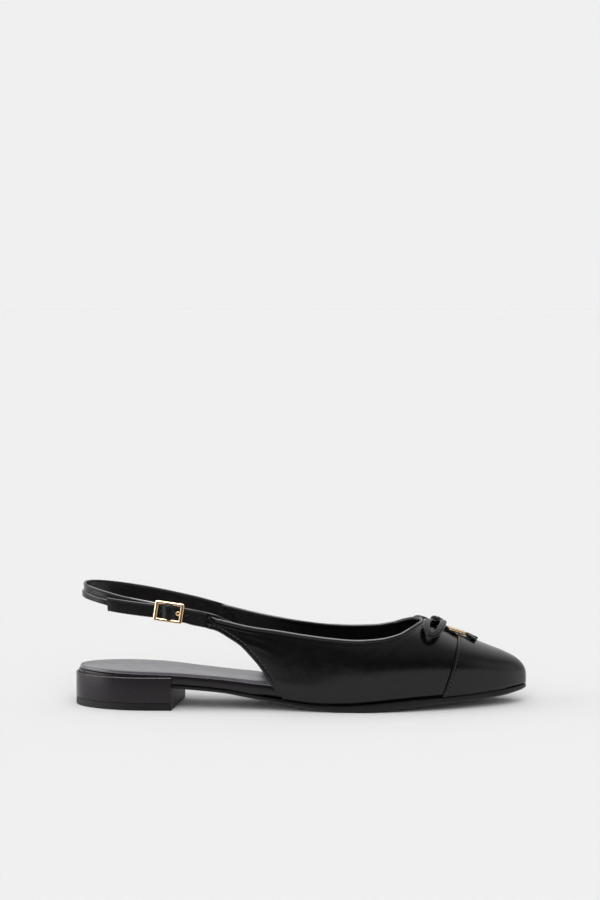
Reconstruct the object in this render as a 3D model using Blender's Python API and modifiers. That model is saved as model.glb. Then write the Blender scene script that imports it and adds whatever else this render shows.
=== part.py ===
# Slingback shoe for the right foot, length 256 mm (EU 38).
# Tables and sizes are in millimetres: x runs forward from the back of the heel, y to the medial side, z up.

import bmesh
import bpy
import numpy as np
from math import atan2, cos, exp, pi, radians, sin, sqrt

MM = 0.001

# Driving sizes
LENGTH = 256.0
GAP = 0.3
SIGN = {"lateral": -1.0, "medial": 1.0}
SIDE_NAMES = ("lateral", "medial")
MIDDLE_Y = -0.6

# Plan of the sole: a half ellipse at the heel, a table along the sides, a tapered toe
HEEL_REAR = 1.6
HEEL_ROUND = 38.0
HEEL_HALF_WIDTH = 24.8
HEEL_AXIS_Y = 3.0
HEEL_AXIS_SLOPE = -0.085
TOE_Y = 3.0
TOE_POINT = 10.0
NOSE = 18.0
BALL = {"lateral": 162.0, "medial": 176.0}

# Sole layers, drawn in between two places at the waist to pass inside the upper
SOLE_BEVEL_INSET = {"rear": 0.9, "fore": 1.6}
SOLE_CROWN = 0.5
BOARD_EDGE = 0.7
SOCK_INSET = 0.8
SOCK_HEIGHT = 1.9
INSOLE_CLEARANCE = 0.9
WAIST_TURN = (100.0, 111.0)

# Heel
HEEL_LIP = 1.6
HEEL_LIP_ROUND = 0.45
HEEL_TOP = 18.4
LIFT_HEIGHT = 4.0
BREAST_X = 58.65
BREAST_SLANT = 0.141

# Upper
WALL = 1.4
FEATHER_INSET = 1.0
UPPER_TIP = 254.7
TAIL_X = 75.0
QUARTER_FOOT_X = 118.2
THROAT_X = 197.8
NOSE_DROP = 7.0
CREST_POWER = 4
SIDE_STEPS = 16
OVER_STEPS = 48
CAP_THICKNESS = 0.9
CAP_OFFSET = 0.35
CAP_FOOT_X = 205.9
CAP_CREST_X = 216.3
CAP_SWEEP = 2.2
BINDING_RADIUS = 1.25
BINDING_START_X = 81.0
BINDING_LEAN = 3.0

# Straps and buckle
STRAP_THICKNESS = 1.2
STRAP_WIDTH = 7.6
STRAP_FLARE = 1.2
STRAP_FLARE_X = {"lateral": (56.0, 68.0), "medial": (10.0, 40.0)}
STRAP_EDGE = 0.25
STRAP_END_X = 80.0
STRAP_TIP_X = 20.0
STRAP_TIP_LEAN = 2.0
STRAP_LAID_X = 46.0
STRAP_WOVEN_X = 62.0
STRAP_Y = -27.9
STRAP_CLEARANCE = 0.1
SLING_REAR = 5.3
SLING_TURN_X = 48.0
SLING_POWER = 2.3
SLING_HALF_WIDTH = 26.4
SLING_END_X = 57.0
SLING_OUT = 0.6
SLING_IN = 1.6
BUCKLE_X = 53.7
BUCKLE_Z = 55.6
BUCKLE_LENGTH = 16.1
BUCKLE_HEIGHT = 11.1
BUCKLE_BAR = 1.4
BUCKLE_DEPTH = 1.6
BUCKLE_TILT = radians(8.5)
BUCKLE_EDGE = 0.3
CENTRE_BAR_RADIUS = 0.6
CENTRE_BAR_SINK = 0.2
PRONG_X = 58.8
PRONG_Z = 54.7
PRONG_CURL = 0.95
PRONG_RADIUS = 0.4
PRONG_OPENING = radians(30)
WEAVE_RISE = 2.2
WEAVE_REACH = 3.2

# Bow
CORD_RADIUS = 1.4
LOOP_MIDDLE = {"lateral": 14.6, "medial": 13.2}
LOOP_HALF_LENGTH = {"lateral": 11.6, "medial": 10.2}
LOOP_HALF_WIDTH = {"lateral": 4.5, "medial": 3.0}
LOOP_LEAN = {"lateral": (-0.2, -0.98), "medial": (-0.4, 0.917)}
LOOP_STAND = 2.2
LOOP_STAND_REACH = 12.0
LOOP_DIP = radians(6)
LOOP_MOUTH = radians(22)
LOOP_CLEARANCE = 0.15
KNOT_X = 204.2
KNOT_Y = 2.0
KNOT_HALF_SIZE = (4.2, 2.6, 2.6)
SLEEVE_SIZE = (9.6, 7.0, 1.8)
SLEEVE_WALL = 0.25
SLEEVE_X = 215.2
LACE_RISE = (1.35, 2.8)
LACE_CLIMB = (207.0, 221.0)
TAIL_THICKNESS = 0.7
TAIL_EDGE = 0.2
TAIL_WIDTH = 2.5
TAIL_END_X = {"lateral": 226.5, "medial": 228.0}
TAIL_SPLAY = {"lateral": 4.0, "medial": 1.5}


def table(columns, *rows):
    """Name the columns of a short table."""
    return dict(zip(columns.split(), np.array(rows, float).T))


SIDES = table(
    "x sole_lateral sole_medial upper_lateral upper_medial",
    (38, -25.03, 24.57, -30.8, 29.6),
    (48, -25.6, 23.0, -30.9, 29.6),
    (57, -26.1, 19.4, -30.9, 29.6),
    (66, -26.6, 15.9, -31.0, 29.6),
    (75, -27.0, 13.3, -31.0, 29.6),
    (90, -28.3, 10.8, -31.2, 29.4),
    (105, -30.2, 13.8, -31.9, 29.2),
    (120, -32.4, 21.2, -33.2, 29.8),
    (135, -35.0, 28.4, -35.2, 31.8),
    (150, -37.1, 33.4, -36.8, 34.0),
    (162, -38.2, 35.9, -37.6, 35.6),
    (176, -38.2, 37.0, -37.6, 36.4),
    (190, -38.2, 37.0, -37.6, 36.4),
)

PROFILE = table(
    "x sole_bottom sole_top board_top bevel",
    (0, 13.6, 15.6, 20.4, 0.9),
    (30, 12.8, 14.8, 19.7, 0.9),
    (57, 12.0, 14.1, 18.8, 0.9),
    (71, 11.0, 13.1, 17.8, 0.9),
    (85, 9.6, 11.7, 16.6, 0.9),
    (94, 8.0, 10.2, 15.6, 0.9),
    (105, 6.1, 8.4, 14.2, 0.9),
    (115, 4.3, 6.8, 12.4, 0.9),
    (126, 2.3, 5.2, 10.2, 1.0),
    (138, 0.7, 4.1, 8.4, 1.3),
    (148, 0.0, 4.0, 7.4, 1.7),
    (166, 0.0, 5.0, 7.4, 2.3),
    (180, 1.3, 6.2, 8.6, 2.4),
    (195, 2.7, 7.2, 9.7, 2.1),
    (210, 3.8, 7.7, 10.6, 1.6),
    (225, 4.6, 8.3, 11.3, 1.1),
    (240, 5.7, 9.2, 12.0, 0.9),
    (256, 7.5, 10.4, 13.0, 0.9),
)

LAST = table(
    "x crest_y crest_z belly fullness",
    (70, 0.0, 80.0, 0.36, 2.20),
    (100, 0.0, 74.0, 0.27, 2.20),
    (115, 0.2, 70.0, 0.17, 2.15),
    (130, 0.5, 66.0, 0.18, 2.10),
    (150, 1.0, 60.5, 0.24, 2.10),
    (165, 1.4, 56.3, 0.27, 2.10),
    (180, 1.8, 52.2, 0.31, 2.12),
    (195, 2.2, 47.6, 0.35, 2.15),
    (205, 2.4, 43.6, 0.38, 2.20),
    (216, 2.6, 38.2, 0.43, 2.30),
    (228, 2.8, 33.2, 0.47, 2.40),
    (242, 3.0, 27.8, 0.49, 2.40),
    (256, 3.0, 22.4, 0.50, 2.40),
)

TOP_EDGE = table(
    "x lateral medial",
    (75, 53.7, 55.4),
    (77, 52.8, 54.6),
    (80.5, 49.9, 51.6),
    (88, 47.8, 49.6),
    (99, 45.3, 46.9),
    (116, 42.8, 43.5),
    (127, 41.1, 41.5),
    (144, 39.1, 39.2),
    (158, 38.2, 38.5),
    (171, 38.9, 38.9),
    (182, 41.0, 41.0),
    (190, 44.2, 44.2),
    (195, 46.0, 46.0),
    (198, 46.6, 46.6),
)

REAR_EDGE = table(
    "x z",
    (75, 46.6),
    (80, 45.2),
    (87.7, 40.7),
    (93.3, 36.9),
    (97.7, 32.4),
    (102.7, 26.7),
    (106, 22.2),
    (111, 14.4),
    (115.5, 9.9),
    (118.2, 6.4),
)

SLING_TOP = table(
    "x lateral medial",
    (4, 69.6, 69.6),
    (15, 67.1, 68.0),
    (26, 64.5, 66.2),
    (46, 60.4, 62.5),
    (57, 58.2, 60.2),
    (70, 55.8, 57.3),
    (80, 53.6, 54.4),
)

BUCKLE_STRAP = table(
    "x y top",
    (20, 0.0, 63.1),
    (46, STRAP_Y, 60.0),
    (54, STRAP_Y, 59.3),
    (62, STRAP_Y, 57.8),
    (68, -27.5, 56.6),
    (75, -26.5, 55.0),
    (80, -26.4, 53.6),
)


def read(rows, column, x):
    """Read a column at x along a cubic that keeps level runs level."""
    at, value = rows["x"], rows[column]
    run = np.diff(at)
    rise = np.diff(value) / run
    slope = np.concatenate(([rise[0]], np.zeros(len(run) - 1), [rise[-1]]))
    for k in range(1, len(run)):
        if rise[k - 1] * rise[k] > 0:
            slope[k] = 2 * rise[k - 1] * rise[k] / (rise[k - 1] + rise[k])
    k = int(np.clip(np.searchsorted(at, x) - 1, 0, len(run) - 1))
    t = min(max((x - at[k]) / run[k], 0.0), 1.0)
    start = (1 + 2 * t) * (1 - t) ** 2 * value[k] + t * (1 - t) ** 2 * run[k] * slope[k]
    end = t * t * (3 - 2 * t) * value[k + 1] - t * t * (1 - t) * run[k] * slope[k + 1]
    return start + end


def ramp(x, start, end):
    """Rise smoothly from 0 to 1 between two places."""
    t = min(max((x - start) / (end - start), 0.0), 1.0)
    return t * t * (3 - 2 * t)


def nose(x, tip, power=3):
    """Round the last stretch before the tip: 1 behind it and 0 at the tip."""
    reach = min(max((x - tip + NOSE) / NOSE, 0.0), 1.0)
    return sqrt(1 - reach ** power)


def outline(x, side, column, inset, tip):
    """Y of one side of the sole or the upper, ahead of the heel."""
    ball = BALL[side]
    if x < ball:
        return read(SIDES, column + side, x) - SIGN[side] * inset
    half = abs(read(SIDES, column + side, ball) - TOE_Y) - inset
    reach = (x - ball) / (tip + TOE_POINT - ball)
    return TOE_Y + SIGN[side] * half * (1 - reach ** 2) * nose(x, tip)


def sole_edge(x, side, inset):
    """Y of the sole's outline, drawn in by an inset."""
    if x >= HEEL_ROUND:
        return outline(x, side, "sole_", inset, LENGTH - inset)
    bow = (HEEL_ROUND - x) / (HEEL_ROUND - HEEL_REAR - inset)
    half = (HEEL_HALF_WIDTH - inset) * sqrt(max(0.0, 1 - bow ** 2))
    return HEEL_AXIS_Y + HEEL_AXIS_SLOPE * x + SIGN[side] * half


def sole_stations(rear_inset, fore_inset):
    """Places along the sole, closer together where the ends turn."""
    rear = HEEL_ROUND - HEEL_REAR - rear_inset
    ball = BALL["lateral"]
    heel = [HEEL_ROUND - rear * cos(a) for a in np.linspace(0, pi / 2, 8)]
    waist = list(np.linspace(HEEL_ROUND, ball, 15))
    toe = [ball + (LENGTH - fore_inset - ball) * sin(a) for a in np.linspace(0, pi / 2, 13)]
    return heel[:-1] + waist[:-1] + toe


def crest(x):
    """Height of the last's middle line, rounded off at the toe."""
    return read(LAST, "crest_z", x) - NOSE_DROP * (1 - nose(x, UPPER_TIP, CREST_POWER))


def section(x, side):
    """Half section of the last from its foot edge up to the middle line, as rows of y and z."""
    foot_y = outline(x, side, "sole_", FEATHER_INSET, UPPER_TIP)
    wide_y = outline(x, side, "upper_", 0.0, UPPER_TIP)
    crest_y = read(LAST, "crest_y", x)
    foot_z = read(PROFILE, "sole_top", x) + GAP
    wide_z = foot_z + read(LAST, "belly", x) * (crest(x) - foot_z)
    power = 2 / read(LAST, "fullness", x)
    turn = np.linspace(0, pi / 2, SIDE_STEPS)
    side_y = foot_y + (wide_y - foot_y) * np.sin(turn)
    side_z = foot_z + (wide_z - foot_z) * turn / (pi / 2)
    turn = np.linspace(0, pi / 2, OVER_STEPS + 1)[1:]
    over_y = crest_y + (wide_y - crest_y) * np.maximum(np.cos(turn), 0) ** power
    over_z = wide_z + (crest(x) - wide_z) * np.sin(turn) ** power
    return np.column_stack((np.append(side_y, over_y), np.append(side_z, over_z)))


def along(x, side, low_z, high_z, shares):
    """Points at even shares of the girth between two heights of a section."""
    curve = section(x, side)
    girth = np.append(0, np.cumsum(np.hypot(*np.diff(curve, axis=0).T)))
    low, high = np.interp((low_z, high_z), curve[:, 1], girth)
    at = low + (high - low) * np.asarray(shares)
    return [(x, np.interp(g, girth, curve[:, 0]), np.interp(g, girth, curve[:, 1])) for g in at]


def last_point(x, side, share):
    """Point on the last at a share of the half girth."""
    return along(x, side, 0.0, crest(x), (share,))[0]


def vamp_height(x, y):
    """Height of the last above a place in plan, on its upper part."""
    side = "lateral" if y < read(LAST, "crest_y", x) else "medial"
    curve = section(x, side)[SIDE_STEPS:]
    order = np.argsort(curve[:, 0])
    return float(np.interp(y, curve[order, 0], curve[order, 1]))


def vamp_normal(x, y):
    """Unit normal of the last above a place in plan."""
    step = 0.5
    slope_x = (vamp_height(x + step, y) - vamp_height(x - step, y)) / (2 * step)
    slope_y = (vamp_height(x, y + step) - vamp_height(x, y - step)) / (2 * step)
    normal = np.array((-slope_x, -slope_y, 1.0))
    return normal / np.linalg.norm(normal)


def over_vamp(x, y, rise):
    """Point that stands off the vamp by a distance."""
    return np.array((x, y, vamp_height(x, y))) + rise * vamp_normal(x, y)


def sling_y(x, side):
    """Plan of the sling: straight sides and one rounded turn behind the heel."""
    bow = max(0.0, (SLING_TURN_X - x) / (SLING_TURN_X - SLING_REAR))
    return SIGN[side] * SLING_HALF_WIDTH * max(0.0, 1 - bow ** SLING_POWER) ** (1 / SLING_POWER)


def strap_width(x, side):
    """Width of a strap, which flares towards the quarter."""
    return STRAP_WIDTH + STRAP_FLARE * ramp(x, *STRAP_FLARE_X[side])


for old in list(bpy.data.objects):
    bpy.data.objects.remove(old, do_unlink=True)

shoe = bpy.data.collections.new("slingback_shoe")
cutters = bpy.data.collections.new("cutters")
bpy.context.scene.collection.children.link(shoe)
bpy.context.scene.collection.children.link(cutters)

frame = bpy.data.objects.new("shoe_frame", None)
frame.location = (-LENGTH / 2 * MM, -MIDDLE_Y * MM, 0)
shoe.objects.link(frame)


def material(name, colour, roughness, metallic=0.0):
    """A plain Principled material."""
    made = bpy.data.materials.new(name)
    made.use_nodes = True
    shader = made.node_tree.nodes["Principled BSDF"]
    shader.inputs["Base Color"].default_value = (*colour, 1.0)
    shader.inputs["Roughness"].default_value = roughness
    shader.inputs["Metallic"].default_value = metallic
    return made


CALF = material("black calf leather", (0.012, 0.012, 0.013), 0.28)
HEEL_CALF = material("black heel leather", (0.014, 0.014, 0.015), 0.35)
SOCK_SATIN = material("grey satin sock", (0.05, 0.05, 0.055), 0.35)
SOLE_BLACK = material("black sole", (0.02, 0.02, 0.02), 0.55)
LIFT_RUBBER = material("black lift rubber", (0.015, 0.015, 0.015), 0.7)
GOLD = material("pale gold", (0.8, 0.58, 0.32), 0.22, 1.0)


def place(name, data, finish):
    """Add an object for a sub-part under the shoe's frame."""
    made = bpy.data.objects.new(name, data)
    made.parent = frame
    data.materials.append(finish)
    shoe.objects.link(made)
    return made


def surface(points, faces):
    """Mesh from points in millimetres, with coincident points merged."""
    data = bpy.data.meshes.new("surface")
    data.from_pydata([tuple(c * MM for c in p) for p in points], [], faces)
    mesh = bmesh.new()
    mesh.from_mesh(data)
    bmesh.ops.remove_doubles(mesh, verts=mesh.verts, dist=0.00001)
    mesh.to_mesh(data)
    mesh.free()
    data.shade_smooth()
    data.set_sharp_from_angle(angle=radians(40))
    return data


def grid_faces(columns, rows, first=0, flip=False):
    """Quads of a grid stored column by column."""
    faces = []
    for i in range(columns - 1):
        for j in range(rows - 1):
            a = first + i * rows + j
            quad = (a, a + rows, a + rows + 1, a + 1)
            faces.append(quad[::-1] if flip else quad)
    return faces


def plate(levels):
    """Closed solid through rings that follow the sole's outline.

    A level is its inset at the rear, its inset at the front and its height as a function of x.
    """
    points, faces = [], []
    for rear_inset, fore_inset, height in levels:
        ring = []
        for x in sole_stations(rear_inset, fore_inset):
            inset = rear_inset + (fore_inset - rear_inset) * ramp(x, *WAIST_TURN)
            ring.append([(x, sole_edge(x, side, inset), height(x)) for side in SIDE_NAMES])
        lateral = [pair[0] for pair in ring]
        medial = [pair[1] for pair in ring[-2:0:-1]]
        points += lateral + medial
    count = len(lateral)
    around = len(lateral) + len(medial)
    for level in range(len(levels) - 1):
        for k in range(around):
            a = level * around + k
            b = level * around + (k + 1) % around
            faces.append((a, b, b + around, a + around))
    top = (len(levels) - 1) * around
    for k in range(count - 1):
        far = (around - k) % around
        further = around - k - 1
        rung = [k, far, further, k + 1]
        rung = [corner for n, corner in enumerate(rung) if corner not in rung[:n]]
        faces.append(rung)
        faces.append([top + corner for corner in rung[::-1]])
    return surface(points, faces)


def strip(stations):
    """Open band from pairs of top and bottom points."""
    points = [point for pair in stations for point in pair]
    return surface(points, grid_faces(len(stations), 2))


def thicken(part, thickness, offset, rounding=0.0):
    """Give an open surface its thickness, and soften its edges."""
    wall = part.modifiers.new("wall", "SOLIDIFY")
    wall.thickness = thickness * MM
    wall.offset = offset
    wall.use_quality_normals = True
    if rounding:
        edge = part.modifiers.new("edge", "BEVEL")
        edge.width = rounding * MM
        edge.segments = 1
        edge.limit_method = "ANGLE"
        edge.angle_limit = radians(50)
    return part


def tube(name, points, radius, finish):
    """Round cord through points, with closed ends."""
    data = bpy.data.curves.new(name, "CURVE")
    data.dimensions = "3D"
    data.bevel_depth = radius * MM
    data.bevel_resolution = 2
    data.use_fill_caps = True
    spline = data.splines.new("POLY")
    spline.points.add(len(points) - 1)
    for knot, point in zip(spline.points, points):
        knot.co = (*(c * MM for c in point), 1.0)
    return place(name, data, finish)


def cut(part, cutter, operation="DIFFERENCE"):
    """Cut a part with a cutter, or join them."""
    cutter.hide_render = True
    cutter.display_type = "WIRE"
    change = part.modifiers.new("cut", "BOOLEAN")
    change.operation = operation
    change.object = cutter
    return part


def cutter_object(name, data):
    """Add a hidden tool under the shoe's frame."""
    made = bpy.data.objects.new(name, data)
    made.parent = frame
    cutters.objects.link(made)
    return made


def make_outsole():
    """Thin sole with a bevelled lower edge and a rounded upper edge."""
    levels = (
        (SOLE_BEVEL_INSET["rear"], SOLE_BEVEL_INSET["fore"], lambda x: read(PROFILE, "sole_bottom", x)),
        (0.0, 0.0, lambda x: read(PROFILE, "sole_bottom", x) + read(PROFILE, "bevel", x)),
        (0.0, 0.0, lambda x: read(PROFILE, "sole_top", x) - SOLE_CROWN),
        (SOLE_CROWN, SOLE_CROWN, lambda x: read(PROFILE, "sole_top", x)),
    )
    place("outsole", plate(levels), SOLE_BLACK)


def make_insole():
    """Wrapped board, and the lining sock laid on it, both inside the upper's wall ahead of the waist."""
    edge = BOARD_EDGE
    fore = FEATHER_INSET + WALL + INSOLE_CLEARANCE
    board = (
        (edge, fore + edge, lambda x: read(PROFILE, "sole_top", x) + GAP),
        (0.0, fore, lambda x: read(PROFILE, "sole_top", x) + GAP + edge),
        (0.0, fore, lambda x: read(PROFILE, "board_top", x) - edge),
        (edge, fore + edge, lambda x: read(PROFILE, "board_top", x)),
    )
    place("insole_board", plate(board), CALF)
    inset = SOCK_INSET
    sock = (
        (inset, fore + inset, lambda x: read(PROFILE, "board_top", x) + GAP),
        (inset, fore + inset, lambda x: read(PROFILE, "board_top", x) + SOCK_HEIGHT - edge),
        (inset + edge, fore + inset + edge, lambda x: read(PROFILE, "board_top", x) + SOCK_HEIGHT),
    )
    place("insole_sock", plate(sock), SOCK_SATIN)


def heel_outline():
    """Plan of the heel: round behind, cut straight across at the breast."""
    corner = {}
    for side in SIDE_NAMES:
        x = BREAST_X
        for _ in range(8):
            x = BREAST_X + BREAST_SLANT * sole_edge(x, side, -HEEL_LIP)
        corner[side] = x
    rear = HEEL_ROUND - HEEL_REAR + HEEL_LIP
    turn = [HEEL_ROUND - rear * cos(a) for a in np.linspace(0, pi / 2, 11)]
    lateral = turn + list(np.linspace(HEEL_ROUND, corner["lateral"], 6)[1:])
    medial = turn + list(np.linspace(HEEL_ROUND, corner["medial"], 6)[1:])
    points = [(x, sole_edge(x, "lateral", -HEEL_LIP)) for x in lateral[::-1]]
    return points + [(x, sole_edge(x, "medial", -HEEL_LIP)) for x in medial[1:]]


def slab(points, bottom, top):
    """Upright prism on a plan outline."""
    count = len(points)
    corners = [(x, y, z) for z in (bottom, top) for x, y in points]
    walls = [(k, k + count, (k + 1) % count + count, (k + 1) % count) for k in range(count)]
    return surface(corners, walls + [tuple(range(count)), tuple(range(2 * count - 1, count - 1, -1))])


def make_heel():
    """Covered block, cupped so that its lip stands round the heel seat, and the rubber lift under it."""
    block = place("heel_block", slab(heel_outline(), LIFT_HEIGHT + GAP, HEEL_TOP), HEEL_CALF)
    seat = (
        (-GAP, -GAP, lambda x: read(PROFILE, "sole_bottom", x) - GAP),
        (-GAP, -GAP, lambda x: 2 * HEEL_TOP),
    )
    cut(block, cutter_object("heel_seat", plate(seat)))
    edge = block.modifiers.new("lip", "BEVEL")
    edge.width = HEEL_LIP_ROUND * MM
    edge.segments = 2
    edge.limit_method = "ANGLE"
    edge.angle_limit = radians(50)
    place("heel_lift", slab(heel_outline(), 0.0, LIFT_HEIGHT), LIFT_RUBBER)


def upper_stations():
    """Places along the upper, closer together at the throat and at the toe."""
    quarter = list(np.linspace(TAIL_X, QUARTER_FOOT_X, 14))
    reach = THROAT_X - QUARTER_FOOT_X
    waist = [QUARTER_FOOT_X + reach * sin(a) for a in np.linspace(0, pi / 2, 17)]
    reach = UPPER_TIP - THROAT_X
    vamp = [THROAT_X + reach * sin(a) for a in np.linspace(0, pi / 2, 14)]
    return quarter[:-1] + waist[:-1] + vamp


def upper_span(x, side):
    """Lowest and highest point of the upper at x."""
    low = read(REAR_EDGE, "z", x) if x < QUARTER_FOOT_X else 0.0
    high = read(TOP_EDGE, side, x) if x < THROAT_X else crest(x)
    return low, high


def make_upper():
    """Vamp and both quarters as one shell on the last, open at the top, behind and underneath."""
    rows = 11
    stations = upper_stations()
    points, faces = [], []
    for side in SIDE_NAMES:
        first = len(points)
        for x in stations:
            points += along(x, side, *upper_span(x, side), np.linspace(0, 1, rows))
        faces += grid_faces(len(stations), rows, first, flip=side == "medial")
    thicken(place("upper", surface(points, faces), CALF), WALL, -1)


def make_toe_cap():
    """Overlay on the last ahead of a seam that sweeps back towards the sole."""
    rows, columns = 11, 11
    points, faces = [], []
    for side in SIDE_NAMES:
        first = len(points)
        for turn in np.linspace(0, pi / 2, columns):
            for share in np.linspace(0, 1, rows):
                seam = CAP_CREST_X - (CAP_CREST_X - CAP_FOOT_X) * (1 - share) ** CAP_SWEEP
                points.append(last_point(seam + (UPPER_TIP - seam) * sin(turn), side, share))
        faces += grid_faces(columns, rows, first, flip=side == "medial")
    cap = place("toe_cap", surface(points, faces), CALF)
    lift = cap.modifiers.new("clearance", "DISPLACE")
    lift.strength = CAP_OFFSET * MM
    lift.mid_level = 0.0
    thicken(cap, CAP_THICKNESS, 1)


def make_binding():
    """Rolled edge that sits on the upper's top edge, from one quarter round the throat to the other."""
    below_edge = (0.93, 1.0)
    places = [x for x in upper_stations() if BINDING_START_X <= x < THROAT_X]
    runs = {}
    for side in SIDE_NAMES:
        runs[side] = [along(x, side, 0.0, upper_span(x, side)[1], below_edge) for x in places]
    throat = [(x, read(LAST, "crest_y", x), crest(x)) for x in (THROAT_X + BINDING_LEAN, THROAT_X)]
    pairs = np.array(runs["lateral"] + [throat] + runs["medial"][::-1])
    edge = pairs[:, 1]
    tangent = np.gradient(edge, axis=0)
    tangent /= np.linalg.norm(tangent, axis=1)[:, None]
    rise = edge - pairs[:, 0]
    rise -= (rise * tangent).sum(axis=1)[:, None] * tangent
    rise /= np.linalg.norm(rise, axis=1)[:, None]
    inward = np.cross(rise, tangent)
    path = edge + rise * (BINDING_RADIUS + GAP) + inward * WALL / 2
    tube("topline_binding", path, BINDING_RADIUS, CALF)


def make_sling():
    """Strap from inside the medial quarter, round the heel, to the buckle's centre bar."""
    turn = np.linspace(0, pi / 2, 15)
    reach = SLING_TURN_X - SLING_REAR
    round_x = [SLING_TURN_X - reach * sin(a) ** (2 / SLING_POWER) for a in turn]
    lateral = list(np.linspace(SLING_END_X, SLING_TURN_X, 4)[:-1]) + round_x
    medial = round_x[-2::-1] + list(np.linspace(SLING_TURN_X, STRAP_END_X, 8)[1:])
    stations = []
    for x in lateral:
        y = sling_y(x, "lateral") - SLING_OUT * ramp(x, SLING_TURN_X, SLING_END_X)
        stations.append((x, y, read(SLING_TOP, "lateral", x), STRAP_WIDTH))
    for x in medial:
        y = sling_y(x, "medial") - SLING_IN * ramp(x, SLING_TURN_X, TAIL_X)
        stations.append((x, y, read(SLING_TOP, "medial", x), strap_width(x, "medial")))
    band = strip([((x, y, z), (x, y, z - width)) for x, y, z, width in stations])
    thicken(place("sling_strap", band, CALF), STRAP_THICKNESS, 0, rounding=STRAP_EDGE)


def buckle_strap_y(x):
    """Plan of the holed strap: laid on the sling behind the buckle, woven over the centre bar."""
    apart = STRAP_THICKNESS + GAP + STRAP_CLEARANCE
    step = 0.5
    slope = (sling_y(x + step, "lateral") - sling_y(x - step, "lateral")) / (2 * step)
    laid = sling_y(x, "lateral") - apart * sqrt(1 + slope ** 2)
    base = laid if x < STRAP_LAID_X else read(BUCKLE_STRAP, "y", x)
    return base - WEAVE_RISE * exp(-((x - BUCKLE_X) / WEAVE_REACH) ** 2)


def make_buckle_strap():
    """Holed strap from inside the lateral quarter, through the buckle, to its slanted tip."""
    laid = np.linspace(STRAP_TIP_X, STRAP_LAID_X, 11)
    woven = np.linspace(STRAP_LAID_X, STRAP_WOVEN_X, 17)
    joined = np.linspace(STRAP_WOVEN_X, STRAP_END_X, 8)
    stations = []
    for x in (*laid, *woven[1:], *joined[1:]):
        top = read(BUCKLE_STRAP, "top", x)
        low_x = x + STRAP_TIP_LEAN * (1 - ramp(x, STRAP_TIP_X, STRAP_TIP_X + STRAP_WIDTH))
        bottom = top - strap_width(x, "lateral")
        stations.append(((x, buckle_strap_y(x), top), (low_x, buckle_strap_y(low_x), bottom)))
    thicken(place("buckle_strap", strip(stations[::-1]), CALF), STRAP_THICKNESS, 0, rounding=STRAP_EDGE)


def box(name, size, add):
    """Box mesh from a primitive cube, sized in millimetres."""
    mesh = bmesh.new()
    bmesh.ops.create_cube(mesh, size=MM)
    bmesh.ops.scale(mesh, vec=size, verts=mesh.verts)
    data = bpy.data.meshes.new(name)
    mesh.to_mesh(data)
    mesh.free()
    return add(name, data)


def make_buckle():
    """Rectangular frame with its centre bar set under the strap, and the prong curled at its tip."""
    outer_y = STRAP_Y - STRAP_THICKNESS / 2 - GAP - BUCKLE_DEPTH / 2
    spot = (BUCKLE_X * MM, outer_y * MM, BUCKLE_Z * MM)
    buckle = box("buckle_frame", (BUCKLE_LENGTH, BUCKLE_DEPTH, BUCKLE_HEIGHT), lambda n, d: place(n, d, GOLD))
    hole = (BUCKLE_LENGTH - 2 * BUCKLE_BAR, 3 * BUCKLE_DEPTH, BUCKLE_HEIGHT - 2 * BUCKLE_BAR)
    window = box("buckle_window", hole, cutter_object)
    mesh = bmesh.new()
    bar_length = BUCKLE_HEIGHT - BUCKLE_BAR
    bmesh.ops.create_cone(
        mesh, cap_ends=True, segments=12, depth=bar_length * MM,
        radius1=CENTRE_BAR_RADIUS * MM, radius2=CENTRE_BAR_RADIUS * MM)
    data = bpy.data.meshes.new("centre_bar")
    mesh.to_mesh(data)
    mesh.free()
    bar = cutter_object("centre_bar", data)
    for piece in (buckle, window, bar):
        piece.location = spot
        piece.rotation_euler.y = BUCKLE_TILT
    bar.location.y += (BUCKLE_DEPTH / 2 + CENTRE_BAR_SINK) * MM
    cut(buckle, window)
    edge = buckle.modifiers.new("edge", "BEVEL")
    edge.width = BUCKLE_EDGE * MM
    edge.segments = 1
    cut(buckle, bar, "UNION")
    make_prong()


def make_prong():
    """Prong that lies on the strap and curls at its tip, against the front bar."""
    points = []
    for a in np.linspace(pi - PRONG_OPENING, PRONG_OPENING - pi, 13):
        x = PRONG_X - PRONG_CURL * cos(a)
        y = buckle_strap_y(x) - STRAP_THICKNESS / 2 - GAP - PRONG_RADIUS
        points.append((x, y, PRONG_Z + PRONG_CURL * sin(a)))
    tube("buckle_prong", points, PRONG_RADIUS, GOLD)


def make_loop(side):
    """Oval loop of rolled cord, from one side of the knot out and back to its other side.

    The medial loop lies on the vamp. The lateral one stands off it, almost level from front to back.
    """
    lean_x, lean_y = LOOP_LEAN[side]
    rise = CORD_RADIUS + GAP + LOOP_CLEARANCE
    path = []
    for a in np.linspace(LOOP_MOUTH, 2 * pi - LOOP_MOUTH, 23):
        out = LOOP_MIDDLE[side] - LOOP_HALF_LENGTH[side] * cos(a)
        across = LOOP_HALF_WIDTH[side] * sin(a)
        x = KNOT_X + lean_x * out
        y = KNOT_Y + lean_y * out
        if side == "medial":
            path.append(over_vamp(x - lean_y * across, y + lean_x * across, rise))
        else:
            stand = LOOP_STAND * ramp(out, 0, LOOP_STAND_REACH)
            forward = np.array((cos(LOOP_DIP), 0, -sin(LOOP_DIP)))
            path.append(over_vamp(x, y, rise + stand) + across * forward)
    tube("bow_loop_" + side, path, CORD_RADIUS, CALF)


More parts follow.
